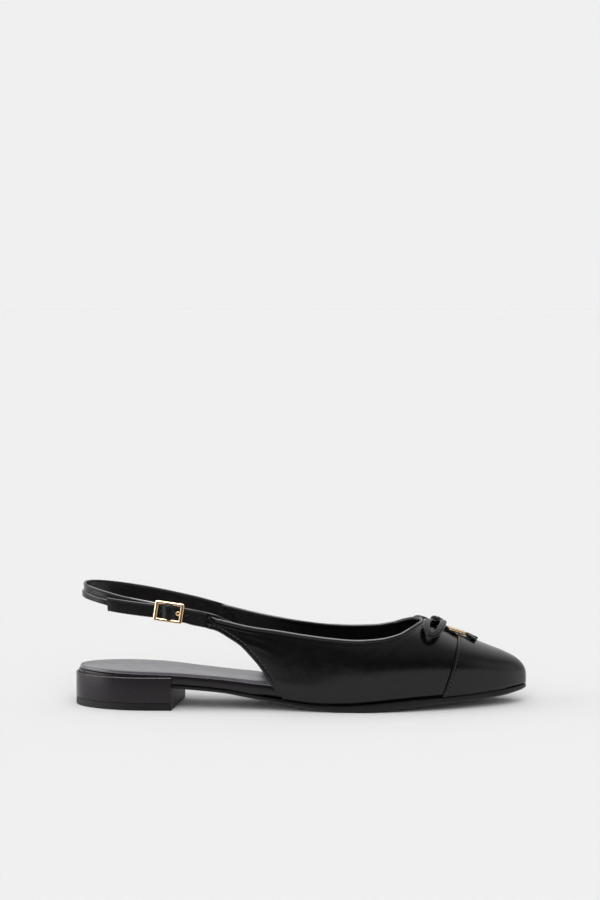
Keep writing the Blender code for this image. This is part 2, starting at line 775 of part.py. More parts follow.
def make_knot():
    """Wrapped knot that sits on the vamp in front of the throat."""
    mesh = bmesh.new()
    bmesh.ops.create_uvsphere(mesh, u_segments=16, v_segments=10, radius=MM)
    bmesh.ops.scale(mesh, vec=KNOT_HALF_SIZE, verts=mesh.verts)
    data = bpy.data.meshes.new("bow_knot")
    mesh.to_mesh(data)
    mesh.free()
    data.shade_smooth()
    knot = place("bow_knot", data, CALF)
    knot.location = over_vamp(KNOT_X, KNOT_Y, KNOT_HALF_SIZE[2] + GAP) * MM
    knot.rotation_euler.y = vamp_slope(KNOT_X)


def vamp_slope(x):
    """Downward angle of the vamp's middle line."""
    return atan2(crest(x - 1) - crest(x + 1), 2)


def lace_rise(x):
    """Height of the tails' middle over the vamp, which climbs onto the toe cap."""
    return LACE_RISE[0] + (LACE_RISE[1] - LACE_RISE[0]) * ramp(x, *LACE_CLIMB)


def make_tails():
    """Two flat tails that leave the knot, pass through the sleeve and splay on the toe cap."""
    first_x = KNOT_X + KNOT_HALF_SIZE[0] + GAP
    on_cap = CAP_OFFSET + CAP_THICKNESS + GAP
    for side in SIDE_NAMES:
        stations = []
        for x in np.linspace(first_x, TAIL_END_X[side], 15):
            loose = ramp(x, SLEEVE_X + SLEEVE_SIZE[0] / 2, TAIL_END_X[side])
            rise = lace_rise(x) + (on_cap + TAIL_THICKNESS / 2 - lace_rise(x)) * loose
            y = KNOT_Y + SIGN[side] * (TAIL_WIDTH / 2 + GAP + TAIL_SPLAY[side] * loose)
            half = SIGN[side] * TAIL_WIDTH / 2
            middle = over_vamp(x, y, rise)
            stations.append((middle - (0, half, 0), middle + (0, half, 0)))
        tail = place("bow_tail_" + side, strip(stations), CALF)
        thicken(tail, TAIL_THICKNESS, 0, rounding=TAIL_EDGE)
    sleeve = box("bow_sleeve", SLEEVE_SIZE, lambda name, data: place(name, data, GOLD))
    bore = (2 * SLEEVE_SIZE[0], SLEEVE_SIZE[1] - 2 * SLEEVE_WALL, SLEEVE_SIZE[2] - 2 * SLEEVE_WALL)
    hollow = box("sleeve_bore", bore, cutter_object)
    climb = atan2(lace_rise(SLEEVE_X + 1) - lace_rise(SLEEVE_X - 1), 2)
    for piece in (sleeve, hollow):
        piece.location = over_vamp(SLEEVE_X, KNOT_Y, lace_rise(SLEEVE_X)) * MM
        piece.rotation_euler.y = vamp_slope(SLEEVE_X) - climb
    cut(sleeve, hollow)


def make_bow():
    """Rolled leather bow at the throat: two loops, the knot and two tails held by a flat sleeve."""
    for side in SIDE_NAMES:
        make_loop(side)
    make_knot()
    make_tails()


make_outsole()
make_insole()
make_heel()
make_upper()
make_toe_cap()
make_binding()
make_sling()
make_buckle_strap()
make_buckle()
make_bow()
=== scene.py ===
# Black cap-toe slingback flat for the right foot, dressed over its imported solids.
# Shoe sizes are millimetres: x runs forward from the back of the heel, y to the inner side, z up.

from math import atan, cos, pi, radians, sin, sqrt

import bmesh
import bpy
import numpy as np
from mathutils import Matrix, Vector


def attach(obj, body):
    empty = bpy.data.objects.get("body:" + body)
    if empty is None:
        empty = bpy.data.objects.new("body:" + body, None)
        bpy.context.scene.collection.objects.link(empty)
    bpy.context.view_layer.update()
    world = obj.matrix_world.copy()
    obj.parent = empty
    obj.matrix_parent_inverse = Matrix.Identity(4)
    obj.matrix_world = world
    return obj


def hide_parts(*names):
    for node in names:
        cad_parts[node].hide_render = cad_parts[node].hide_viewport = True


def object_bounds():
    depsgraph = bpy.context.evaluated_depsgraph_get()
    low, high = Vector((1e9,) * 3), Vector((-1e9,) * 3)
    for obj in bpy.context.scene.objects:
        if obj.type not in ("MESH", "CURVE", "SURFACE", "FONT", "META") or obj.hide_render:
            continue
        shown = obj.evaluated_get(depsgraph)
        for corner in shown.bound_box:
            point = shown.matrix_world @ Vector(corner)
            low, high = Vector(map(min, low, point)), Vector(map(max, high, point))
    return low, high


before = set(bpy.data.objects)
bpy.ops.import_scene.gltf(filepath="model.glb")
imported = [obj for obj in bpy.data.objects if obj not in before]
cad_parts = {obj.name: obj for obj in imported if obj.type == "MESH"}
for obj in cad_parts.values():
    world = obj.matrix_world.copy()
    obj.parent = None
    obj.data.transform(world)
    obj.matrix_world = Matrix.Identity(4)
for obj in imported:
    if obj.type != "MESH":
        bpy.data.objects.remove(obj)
cadLow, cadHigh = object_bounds()
scene = bpy.context.scene
mm = 0.001
sideNames = ("lateral", "medial")
sideSign = {"lateral": -1.0, "medial": 1.0}
slopeStep = 0.5  # half the run over which a slope is read
farAway = 99.0  # more than any distance from an edge
print("frame loaded:", len(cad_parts), "nodes")


# The last, in the same sizes as the solids
lastForm = {
    "length": 256.0, "gap": 0.3, "heelRear": 1.6, "heelRound": 38.0, "heelHalfWidth": 24.8,
    "heelAxisY": 3.0, "heelAxisSlope": -0.085, "toeY": 3.0, "toePoint": 10.0, "nose": 18.0,
    "ball": {"lateral": 162.0, "medial": 176.0}, "featherInset": 1.0, "tip": 254.7, "noseDrop": 7.0,
    "crestPower": 4, "sideSteps": 24, "overSteps": 72,
}


def table(columns, *rows):
    return dict(zip(columns.split(), np.array(rows, float).T))


sideTable = table(
    "x soleLateral soleMedial upperLateral upperMedial",
    (38, -25.03, 24.57, -30.8, 29.6),
    (48, -25.6, 23.0, -30.9, 29.6),
    (57, -26.1, 19.4, -30.9, 29.6),
    (66, -26.6, 15.9, -31.0, 29.6),
    (75, -27.0, 13.3, -31.0, 29.6),
    (90, -28.3, 10.8, -31.2, 29.4),
    (105, -30.2, 13.8, -31.9, 29.2),
    (120, -32.4, 21.2, -33.2, 29.8),
    (135, -35.0, 28.4, -35.2, 31.8),
    (150, -37.1, 33.4, -36.8, 34.0),
    (162, -38.2, 35.9, -37.6, 35.6),
    (176, -38.2, 37.0, -37.6, 36.4),
    (190, -38.2, 37.0, -37.6, 36.4),
)

profileTable = table(
    "x soleBottom soleTop boardTop bevel",
    (0, 13.6, 15.6, 20.4, 0.9),
    (30, 12.8, 14.8, 19.7, 0.9),
    (57, 12.0, 14.1, 18.8, 0.9),
    (71, 11.0, 13.1, 17.8, 0.9),
    (85, 9.6, 11.7, 16.6, 0.9),
    (94, 8.0, 10.2, 15.6, 0.9),
    (105, 6.1, 8.4, 14.2, 0.9),
    (115, 4.3, 6.8, 12.4, 0.9),
    (126, 2.3, 5.2, 10.2, 1.0),
    (138, 0.7, 4.1, 8.4, 1.3),
    (148, 0.0, 4.0, 7.4, 1.7),
    (166, 0.0, 5.0, 7.4, 2.3),
    (180, 1.3, 6.2, 8.6, 2.4),
    (195, 2.7, 7.2, 9.7, 2.1),
    (210, 3.8, 7.7, 10.6, 1.6),
    (225, 4.6, 8.3, 11.3, 1.1),
    (240, 5.7, 9.2, 12.0, 0.9),
    (256, 7.5, 10.4, 13.0, 0.9),
)

lastTable = table(
    "x crestY crestZ belly fullness",
    (70, 0.0, 80.0, 0.36, 2.20),
    (100, 0.0, 74.0, 0.27, 2.20),
    (115, 0.2, 70.0, 0.17, 2.15),
    (130, 0.5, 66.0, 0.18, 2.10),
    (150, 1.0, 60.5, 0.24, 2.10),
    (165, 1.4, 56.3, 0.27, 2.10),
    (180, 1.8, 52.2, 0.31, 2.12),
    (195, 2.2, 47.6, 0.35, 2.15),
    (205, 2.4, 43.6, 0.38, 2.20),
    (216, 2.6, 38.2, 0.43, 2.30),
    (228, 2.8, 33.2, 0.47, 2.40),
    (242, 3.0, 27.8, 0.49, 2.40),
    (256, 3.0, 22.4, 0.50, 2.40),
)

topEdgeTable = table(
    "x lateral medial",
    (75, 53.7, 55.4),
    (77, 52.8, 54.6),
    (80.5, 49.9, 51.6),
    (88, 47.8, 49.6),
    (99, 45.3, 46.9),
    (116, 42.8, 43.5),
    (127, 41.1, 41.5),
    (144, 39.1, 39.2),
    (158, 38.2, 38.5),
    (171, 38.9, 38.9),
    (182, 41.0, 41.0),
    (190, 44.2, 44.2),
    (195, 46.0, 46.0),
    (198, 46.6, 46.6),
)

rearEdgeTable = table(
    "x z",
    (75, 46.6),
    (80, 45.2),
    (87.7, 40.7),
    (93.3, 36.9),
    (97.7, 32.4),
    (102.7, 26.7),
    (106, 22.2),
    (111, 14.4),
    (115.5, 9.9),
    (118.2, 6.4),
)

# Shoe millimetres to the frame: the solids' box starts at the heel's back and at the widest outer sole
shoeOrigin = np.array((cadLow.x / mm, cadLow.y / mm - sideTable["soleLateral"].min(), 0.0))


def readTable(rows, column, x):  # a cubic that keeps level runs level
    at, value = rows["x"], rows[column]
    run = np.diff(at)
    rise = np.diff(value) / run
    product = rise[:-1] * rise[1:]
    total = np.where(product > 0, rise[:-1] + rise[1:], 1.0)
    slope = np.concatenate((rise[:1], np.where(product > 0, 2 * product / total, 0.0), rise[-1:]))
    k = np.clip(np.searchsorted(at, x) - 1, 0, len(run) - 1)
    t = np.clip((x - at[k]) / run[k], 0.0, 1.0)
    start = (1 + 2 * t) * (1 - t) ** 2 * value[k] + t * (1 - t) ** 2 * run[k] * slope[k]
    end = t * t * (3 - 2 * t) * value[k + 1] - t * t * (1 - t) * run[k] * slope[k + 1]
    return start + end


def ramp(x, start, end):
    t = np.clip((x - start) / (end - start), 0.0, 1.0)
    return t * t * (3 - 2 * t)


def noseRound(x, tip, power=3):  # 1 behind the toe's last stretch, 0 at the tip
    reach = np.clip((x - tip + lastForm["nose"]) / lastForm["nose"], 0.0, 1.0)
    return np.sqrt(1 - reach ** power)


def outlineY(x, side, column, inset, tip):
    ball = lastForm["ball"][side]
    name = column + side.capitalize()
    if x < ball:
        return readTable(sideTable, name, x) - sideSign[side] * inset
    half = abs(readTable(sideTable, name, ball) - lastForm["toeY"]) - inset
    reach = (x - ball) / (tip + lastForm["toePoint"] - ball)
    return lastForm["toeY"] + sideSign[side] * half * (1 - reach ** 2) * noseRound(x, tip)


def soleEdge(x, side, inset):
    if x >= lastForm["heelRound"]:
        return outlineY(x, side, "sole", inset, lastForm["length"] - inset)
    bow = (lastForm["heelRound"] - x) / (lastForm["heelRound"] - lastForm["heelRear"] - inset)
    half = (lastForm["heelHalfWidth"] - inset) * sqrt(max(0.0, 1 - bow ** 2))
    return lastForm["heelAxisY"] + lastForm["heelAxisSlope"] * x + sideSign[side] * half


def lastCrest(x):
    rounded = noseRound(x, lastForm["tip"], lastForm["crestPower"])
    return readTable(lastTable, "crestZ", x) - lastForm["noseDrop"] * (1 - rounded)


def lastSection(x, side):  # y and z from the foot edge up to the middle line
    footY = outlineY(x, side, "sole", lastForm["featherInset"], lastForm["tip"])
    wideY = outlineY(x, side, "upper", 0.0, lastForm["tip"])
    crestY, crestZ = readTable(lastTable, "crestY", x), lastCrest(x)
    footZ = readTable(profileTable, "soleTop", x) + lastForm["gap"]
    wideZ = footZ + readTable(lastTable, "belly", x) * (crestZ - footZ)
    power = 2 / readTable(lastTable, "fullness", x)
    turn = np.linspace(0, pi / 2, lastForm["sideSteps"])
    over = np.linspace(0, pi / 2, lastForm["overSteps"] + 1)[1:]
    overY = crestY + (wideY - crestY) * np.maximum(np.cos(over), 0) ** power
    overZ = wideZ + (crestZ - wideZ) * np.sin(over) ** power
    sideY = footY + (wideY - footY) * np.sin(turn)
    sideZ = footZ + (wideZ - footZ) * turn / (pi / 2)
    return np.append(sideY, overY), np.append(sideZ, overZ)


def girthPoints(x, side, lowZ, highZ, spread):  # spread turns the girth in mm into places from 0 to 1
    y, z = lastSection(x, side)
    girth = np.append(0, np.cumsum(np.hypot(np.diff(y), np.diff(z))))
    low, high = np.interp((lowZ, highZ), z, girth)
    at = low + (high - low) * spread(high - low)
    return np.column_stack((np.full(len(at), x), np.interp(at, girth, y), np.interp(at, girth, z)))


def lastY(x, side, z):
    sectionY, sectionZ = lastSection(x, side)
    return np.interp(z, sectionZ, sectionY)


def vampHeight(x, y):
    side = "lateral" if y < readTable(lastTable, "crestY", x) else "medial"
    sectionY, sectionZ = (part[lastForm["sideSteps"]:] for part in lastSection(x, side))
    order = np.argsort(sectionY)
    return np.interp(y, sectionY[order], sectionZ[order])


def vampNormal(x, y):
    step = slopeStep
    slopeX = (vampHeight(x + step, y) - vampHeight(x - step, y)) / (2 * step)
    slopeY = (vampHeight(x, y + step) - vampHeight(x, y - step)) / (2 * step)
    normal = np.array((-slopeX, -slopeY, 1.0))
    return normal / np.linalg.norm(normal)


def overVamp(x, y, rise):
    return np.array((x, y, vampHeight(x, y))) + rise * vampNormal(x, y)


def unit(vectors):
    return vectors / np.linalg.norm(vectors, axis=-1, keepdims=True)


def addObject(name, data):
    made = bpy.data.objects.new(name, data)
    scene.collection.objects.link(made)
    return made


# Camera at the photograph's angle: it aims past the shoe, which stands low in the picture
view = {"azimuth": -1.0, "elevation": 8.1, "distance": 1400.0, "target": (128.0, 0.0, 35.0),
        "targetPixel": (301.6, 641.2), "pixelsPerMm": 1.756, "image": (600, 900)}


def makeCamera():
    azimuth, elevation = radians(view["azimuth"]), radians(view["elevation"])
    back = Vector((sin(azimuth) * cos(elevation), -cos(azimuth) * cos(elevation), sin(elevation)))
    right = Vector((cos(azimuth), sin(azimuth), 0.0))
    focal = view["pixelsPerMm"] * view["distance"]
    turn = atan((view["targetPixel"][0] - view["image"][0] / 2) / focal)
    pitch = atan((view["targetPixel"][1] - view["image"][1] / 2) / focal)
    up = right.cross(-back)
    forward = -back * cos(pitch) + up * sin(pitch)
    up = up * cos(pitch) + back * sin(pitch)
    right, forward = right * cos(turn) + forward * sin(turn), forward * cos(turn) - right * sin(turn)
    data = bpy.data.cameras.new("camera")
    data.lens = data.sensor_width * focal / max(view["image"])
    made = addObject("camera", data)
    place = Matrix((right, up, -forward)).transposed().to_4x4()
    place.translation = Vector((np.array(view["target"]) + shoeOrigin) * mm) + back * view["distance"] * mm
    made.matrix_world = place
    scene.camera = made


makeCamera()
print("camera set")


# Materials
def linear(hexColour):
    parts = [int(hexColour[k:k + 2], 16) / 255 for k in (1, 3, 5)]
    return (*(c / 12.92 if c <= 0.04045 else ((c + 0.055) / 1.055) ** 2.4 for c in parts), 1.0)


def feed(tree, node, inputs):  # an input takes a constant or another node's output
    for name, value in inputs.items():
        if isinstance(value, bpy.types.NodeSocket):
            tree.links.new(value, node.inputs[name])
        else:
            node.inputs[name].default_value = value


def addNode(tree, kind, inputs=None, **settings):
    made = tree.nodes.new(kind)
    for name, value in settings.items():
        setattr(made, name, value)
    feed(tree, made, inputs or {})
    return made


def newMaterial(name):  # with its tree, its shader and the place on the object
    made = bpy.data.materials.new(name)
    made.use_nodes = True
    tree = made.node_tree
    place = addNode(tree, "ShaderNodeTexCoord").outputs["Object"]
    return made, tree, tree.nodes["Principled BSDF"], place


def perMetre(size):  # a pattern's scale from its real width in millimetres
    return 1 / (size * mm)


leatherForm = {"hideDetail": 2.0, "patchDetail": 3.0, "patchRange": (0.3, 0.7), "relief": 1.0}


def leather(name, look):
    # Grain pores break up the gloss, and a slow unevenness of the hide bends the reflections
    f = leatherForm
    made, tree, shader, place = newMaterial(name)
    hide = addNode(tree, "ShaderNodeTexNoise", {
        "Vector": place, "Scale": perMetre(look["hide"]), "Detail": f["hideDetail"]})
    grain = addNode(tree, "ShaderNodeTexVoronoi", {
        "Vector": place, "Scale": perMetre(look["grain"])}, feature="SMOOTH_F1")
    patch = addNode(tree, "ShaderNodeTexNoise", {
        "Vector": place, "Scale": perMetre(look["patch"]), "Detail": f["patchDetail"]})
    tone = addNode(tree, "ShaderNodeMix", {
        "Factor": patch.outputs["Fac"], "A": linear(look["dark"]), "B": linear(look["light"])},
        data_type="RGBA")
    rough = addNode(tree, "ShaderNodeMapRange", {
        "Value": patch.outputs["Fac"], "From Min": f["patchRange"][0], "From Max": f["patchRange"][1],
        "To Min": look["rough"][0], "To Max": look["rough"][1]})
    wave = addNode(tree, "ShaderNodeBump", {
        "Height": hide.outputs["Fac"], "Strength": look["hideDepth"], "Distance": f["relief"] * mm})
    bump = addNode(tree, "ShaderNodeBump", {
        "Height": grain.outputs["Distance"], "Strength": look["grainDepth"], "Distance": f["relief"] * mm,
        "Normal": wave.outputs["Normal"]})
    feed(tree, shader, {
        "Base Color": tone.outputs["Result"], "Roughness": rough.outputs["Result"],
        "Normal": bump.outputs["Normal"], "IOR": look["ior"], "Coat Weight": look["polish"],
        "Coat Roughness": look["polishRough"]})
    return made


# Box calf, plated and polished: nearly black, with sharp but slightly broken reflections
calf = leather("polished calf", {
    "dark": "#0b0a0b", "light": "#121012", "hide": 9.0, "grain": 0.9, "patch": 5.0, "rough": (0.20, 0.28),
    "hideDepth": 0.10, "grainDepth": 0.03, "polish": 0.08, "polishRough": 0.14, "ior": 1.39})
# Thin calf drawn over the heel and the board: smoother, a little warmer
coverCalf = leather("covering calf", {
    "dark": "#140d13", "light": "#181117", "hide": 18.0, "grain": 0.8, "patch": 12.0, "rough": (0.25, 0.30),
    "hideDepth": 0.03, "grainDepth": 0.02, "polish": 0.08, "polishRough": 0.2, "ior": 1.40})
# Satin lining leather, dark grey: an even sheen at a low angle, partly painted: the base colour is a medium
# grey, much lighter than the leather, standing in for that low-angle sheen
sockLeatherPaintedSheen = leather("satin lining leather with painted sheen", {
    "dark": "#625d67", "light": "#6c6671", "hide": 16.0, "grain": 0.7, "patch": 9.0, "rough": (0.19, 0.24),
    "hideDepth": 0.04, "grainDepth": 0.02, "polish": 0.0, "polishRough": 0.2, "ior": 1.85})
# Inside of the upper: dyed lining with no polish
liningLeather = leather("dyed lining leather", {
    "dark": "#0d0d0e", "light": "#131314", "hide": 8.0, "grain": 0.6, "patch": 4.0, "rough": (0.5, 0.6),
    "hideDepth": 0.05, "grainDepth": 0.05, "polish": 0.0, "polishRough": 0.3, "ior": 1.4})
# Sole leather with an inked edge
soleLeather = leather("inked sole leather", {
    "dark": "#0c0b0c", "light": "#121112", "hide": 12.0, "grain": 1.2, "patch": 3.0, "rough": (0.32, 0.42),
    "hideDepth": 0.05, "grainDepth": 0.04, "polish": 0.03, "polishRough": 0.3, "ior": 1.36})
# Moulded rubber: dull, with a fine speckle
liftRubber = leather("moulded lift rubber", {
    "dark": "#100f10", "light": "#161516", "hide": 6.0, "grain": 0.5, "patch": 2.0, "rough": (0.5, 0.62),
    "hideDepth": 0.03, "grainDepth": 0.06, "polish": 0.0, "polishRough": 0.3, "ior": 1.45})


goldLook = {"colour": "#edcca3", "handled": 2.0, "detail": 3.0, "rough": (0.1, 0.3)}


def goldPlate():
    # Plated zinc, polished: pale warm reflections, dulled a little where it is handled
    made, tree, shader, place = newMaterial("polished gold plate")
    handled = addNode(tree, "ShaderNodeTexNoise", {
        "Vector": place, "Scale": perMetre(goldLook["handled"]), "Detail": goldLook["detail"]})
    rough = addNode(tree, "ShaderNodeMapRange", {
        "Value": handled.outputs["Fac"], "To Min": goldLook["rough"][0], "To Max": goldLook["rough"][1]})
    feed(tree, shader, {
        "Roughness": rough.outputs["Result"], "Base Color": linear(goldLook["colour"]), "Metallic": 1.0})
    return made


# Thread colour: mid grey on black thread, a painted glint
threadLookPaintedGlint = {"colour": "#4b494d", "twist": 2.0, "stray": 1.0, "depth": 0.2, "relief": 0.3, "rough": 0.4}


def threadPolyester():
    # Twisted black polyester thread: dull, with the twist as fine ridges; its colour is a lighter grey than
    # the black thread, a painted highlight so the stitches show as light dots
    made, tree, shader, place = newMaterial("black polyester thread with painted glint")
    twist = addNode(tree, "ShaderNodeTexWave", {
        "Vector": place, "Scale": perMetre(threadLookPaintedGlint["twist"]), "Distortion": threadLookPaintedGlint["stray"]},
        bands_direction="DIAGONAL")
    bump = addNode(tree, "ShaderNodeBump", {
        "Height": twist.outputs["Fac"], "Strength": threadLookPaintedGlint["depth"],
        "Distance": threadLookPaintedGlint["relief"] * mm})
    feed(tree, shader, {
        "Normal": bump.outputs["Normal"], "Base Color": linear(threadLookPaintedGlint["colour"]),
        "Roughness": threadLookPaintedGlint["rough"]})
    return made


gold = goldPlate()
thread = threadPolyester()
print("materials made")


# Mesh making
meshForm = {"weld": 0.004, "sliver": 0.001}


def makeObject(name, points, faces, finishes, faceSlots=None, sharp=40):
    data = bpy.data.meshes.new(name)
    data.from_pydata(((np.asarray(points) + shoeOrigin) * mm).tolist(), [], [list(f) for f in faces])
    for finish in finishes:
        data.materials.append(finish)
    if faceSlots is not None:
        data.polygons.foreach_set("material_index", faceSlots)
    closeMesh(data)
    data.shade_smooth()
    data.set_sharp_from_angle(angle=radians(sharp))
    return addObject(name, data)


def closeMesh(data):
    mesh = bmesh.new()
    mesh.from_mesh(data)
    bmesh.ops.remove_doubles(mesh, verts=mesh.verts, dist=meshForm["weld"] * mm)
    bmesh.ops.dissolve_degenerate(mesh, edges=mesh.edges, dist=meshForm["sliver"] * mm)
    bmesh.ops.recalc_face_normals(mesh, faces=mesh.faces)
    mesh.to_mesh(data)
    mesh.free()


rolledPieces = []  # pieces with rolled edges, which take a light of their own


def finishPiece(piece, slot, *nodes, rolled=False):
    if rolled:
        rolledPieces.append(piece)
    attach(piece, "root")
    if nodes:
        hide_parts(*nodes)


def gridFaces(columns, rows, first=0, flip=False):
    faces = []
    for i in range(columns - 1):
        for j in range(rows - 1):
            a = first + i * rows + j
            quad = (a, a + rows, a + rows + 1, a + 1)
            faces.append(quad[::-1] if flip else quad)
    return faces


def gridNormals(grid):  # of points stored as columns by rows
    alongColumns = np.gradient(grid, axis=0)
    alongRows = np.gradient(grid, axis=1)
    normals = np.cross(alongColumns, alongRows)
    return normals / np.maximum(np.linalg.norm(normals, axis=2, keepdims=True), 1e-9)


def sweep(path, across, up, profiles):  # rings of profile points along a path, with flat ends
    rings = path[:, None] + profiles[..., :1] * across[:, None] + profiles[..., 1:] * up[:, None]
    count, around = rings.shape[:2]
    faces = []
    for i in range(count - 1):
        for j in range(around):
            k = (j + 1) % around
            faces.append((i * around + j, i * around + k, (i + 1) * around + k, (i + 1) * around + j))
    faces.append(tuple(range(around - 1, -1, -1)))
    faces.append(tuple(range((count - 1) * around, count * around)))
    return rings.reshape(-1, 3), faces


def roundedRect(halfAcross, halfUp, radius, corner=5, side=18):  # loop of points in a strap's section
    loop = []
    for turn, (signA, signU) in enumerate(((1, 1), (-1, 1), (-1, -1), (1, -1))):
        for a in np.linspace(0, pi / 2, corner) + turn * pi / 2:
            loop.append((signA * (halfAcross - radius) + radius * cos(a),
                         signU * (halfUp - radius) + radius * sin(a)))
        if turn % 2 == 1:  # the long sides get points between their corners
            steps = np.linspace(halfUp - radius, radius - halfUp, side)[1:-1]
            loop += [(signA * halfAcross, signU * u) for u in steps]
    return np.array(loop)


def joinMeshes(name, parts, finish, sharp):
    points, faces = [], []
    for partPoints, partFaces in parts:
        first = len(points)
        points += [tuple(p) for p in partPoints]
        faces += [tuple(first + c for c in face) for face in partFaces]
    return makeObject(name, points, faces, [finish], sharp=sharp)


def profile(column, lift=0.0):  # a height along the shoe from the profile table
    return lambda x: readTable(profileTable, column, x) + lift


def level(z):
    return lambda x: z


# Sole layers: rings round the plan, with a cap that is divided across
soleLayers = {
    "heelSteps": 28, "waistSteps": 90, "toeSteps": 56, "across": 14, "turn": (100.0, 111.0),
    "soleBevel": (0.9, 1.6), "bevelBow": 1.3, "soleCrown": 0.5, "boardEdge": 0.7, "sockInset": 0.8,
    "sockHeight": 1.9, "insoleInset": 3.3, "sockDish": 0.35, "sockUnder": 0.1,
    "roundSteps": 4, "bevelSteps": 5,
}


def soleStations(rearInset, foreInset):
    rear = lastForm["heelRound"] - lastForm["heelRear"] - rearInset
    ball = lastForm["ball"]["lateral"]
    front = lastForm["length"] - foreInset - ball
    heel = lastForm["heelRound"] - rear * np.cos(np.linspace(0, pi / 2, soleLayers["heelSteps"]))
    waist = np.linspace(lastForm["heelRound"], ball, soleLayers["waistSteps"])
    toe = ball + front * np.sin(np.linspace(0, pi / 2, soleLayers["toeSteps"]))
    return np.concatenate((heel[:-1], waist[:-1], toe))


def levelEdge(rearInset, foreInset, height):
    stations = soleStations(rearInset, foreInset)
    insets = rearInset + (foreInset - rearInset) * ramp(stations, *soleLayers["turn"])
    return {side: [(x, soleEdge(x, side, inset), height(x)) for x, inset in zip(stations, insets)]
            for side in sideNames}


def plate(levels, dish=0.0):
    # A level is its inset at the rear, its inset at the front and its height at x
    edges = [levelEdge(*one) for one in levels]
    points, faces = [], []
    for edge in edges:
        points += edge["lateral"] + edge["medial"][-2:0:-1]
    count = len(points) // len(levels)
    for lower in range(len(levels) - 1):
        for k in range(count):
            a, b = lower * count + k, lower * count + (k + 1) % count
            faces.append((a, b, b + count, a + count))
    for edge, flip, sink in ((edges[0], False, 0.0), (edges[-1], True, dish)):
        first = len(points)
        for one, other in zip(np.array(edge["lateral"]), np.array(edge["medial"])):
            for share in np.linspace(0, 1, soleLayers["across"]):
                drop = sink * (1 - (2 * share - 1) ** 2) ** 2
                points.append(tuple(one + (other - one) * share - (0, 0, drop)))
        faces += gridFaces(len(edge["lateral"]), soleLayers["across"], first, flip)
    return points, faces


def roundLevels(low, high, edge, rear, fore, lowEdge=None):
    # Rings from the underside round both edges to the top
    lowEdge = edge if lowEdge is None else lowEdge
    turns = np.linspace(0, pi / 2, soleLayers["roundSteps"])
    levels = []
    for a in turns:
        inset, lift = lowEdge * (1 - sin(a)), lowEdge * (1 - cos(a))
        levels.append((rear + inset, fore + inset, lambda x, lift=lift: low(x) + lift))
    for a in turns:
        inset, drop = edge * (1 - cos(a)), edge * (1 - sin(a))
        levels.append((rear + inset, fore + inset, lambda x, drop=drop: high(x) - drop))
    return levels


def bevelLevels(low, bevel):  # the outsole's cut lower edge, slightly bowed
    levels = []
    for t in np.linspace(0, 1, soleLayers["bevelSteps"]):
        rear, fore = (inset * (1 - t) ** soleLayers["bevelBow"] for inset in soleLayers["soleBevel"])
        levels.append((rear, fore, lambda x, t=t: low(x) + bevel(x) * t))
    return levels


def makeSole():
    s = soleLayers
    gap = lastForm["gap"]
    bottom = profile("soleBottom")
    levels = bevelLevels(bottom, profile("bevel"))
    levels += roundLevels(bottom, profile("soleTop"), s["soleCrown"], 0.0, 0.0)[s["roundSteps"]:]
    finishPiece(makeObject("outsole_leather", *plate(levels), [soleLeather]), "sole", "outsole")
    levels = roundLevels(profile("soleTop", gap), profile("boardTop"), s["boardEdge"],
                         0.0, s["insoleInset"])
    finishPiece(makeObject("board_wrap", *plate(levels), [coverCalf]), "calf", "insole_board")
    levels = roundLevels(profile("boardTop", gap), profile("boardTop", s["sockHeight"]), s["boardEdge"],
                         s["sockInset"], s["insoleInset"] + s["sockInset"], s["sockUnder"])
    sock = makeObject("sock_lining", *plate(levels, s["sockDish"]), [sockLeatherPaintedSheen])
    finishPiece(sock, "sock", "insole_sock")


makeSole()
print("sole, board and sock made")


# Heel: a covered block whose lip stands round the heel seat, and a rubber lift under it
heelForm = {"lip": 1.6, "top": 18.4, "lift": 4.0, "breastX": 58.65, "breastSlant": 0.141,
            "turnSteps": 72, "sideSteps": 10, "lipSteps": 9, "cornerTries": 8, "edge": 0.15,
            "liftInset": 0.05, "joint": 0.05}


def heelPlan(outset):  # from the outer breast corner round the back to the inner one
    corner = {}
    for side in sideNames:
        x = heelForm["breastX"]
        for _ in range(heelForm["cornerTries"]):
            x = heelForm["breastX"] + heelForm["breastSlant"] * soleEdge(x, side, -outset)
        corner[side] = x
    rear = lastForm["heelRound"] - lastForm["heelRear"] + outset
    turn = lastForm["heelRound"] - rear * np.cos(np.linspace(0, pi / 2, heelForm["turnSteps"]))
    runs = {}
    for side in sideNames:
        straight = np.linspace(lastForm["heelRound"], corner[side], heelForm["sideSteps"])[1:]
        runs[side] = [(x, soleEdge(x, side, -outset)) for x in (*turn, *straight)]
    return np.array(runs["lateral"][::-1] + runs["medial"][1:])


def heelWall(levels):  # upright rings on the plan, with the breast and both ends closed
    points, faces = [], []
    for outset, height in levels:
        ring = heelPlan(outset)
        points += [(x, y, height(x)) for x, y in ring]
    count = len(ring)
    for lower in range(len(levels) - 1):
        for k in range(count - 1):
            a = lower * count + k
            faces.append((a, a + 1, a + 1 + count, a + count))
    first = [ring * count for ring in range(len(levels))]
    last = [ring * count + count - 1 for ring in range(len(levels))]
    slots = [0] * len(faces) + [1]
    faces.append(first + last[::-1])
    for base in (0, (len(levels) - 1) * count):
        for k in range(count // 2):
            rung = [base + k, base + count - 1 - k, base + count - 2 - k, base + k + 1]
            faces.append([c for n, c in enumerate(rung) if c not in rung[:n]])
    return points, faces, slots + [0] * (len(faces) - len(slots))


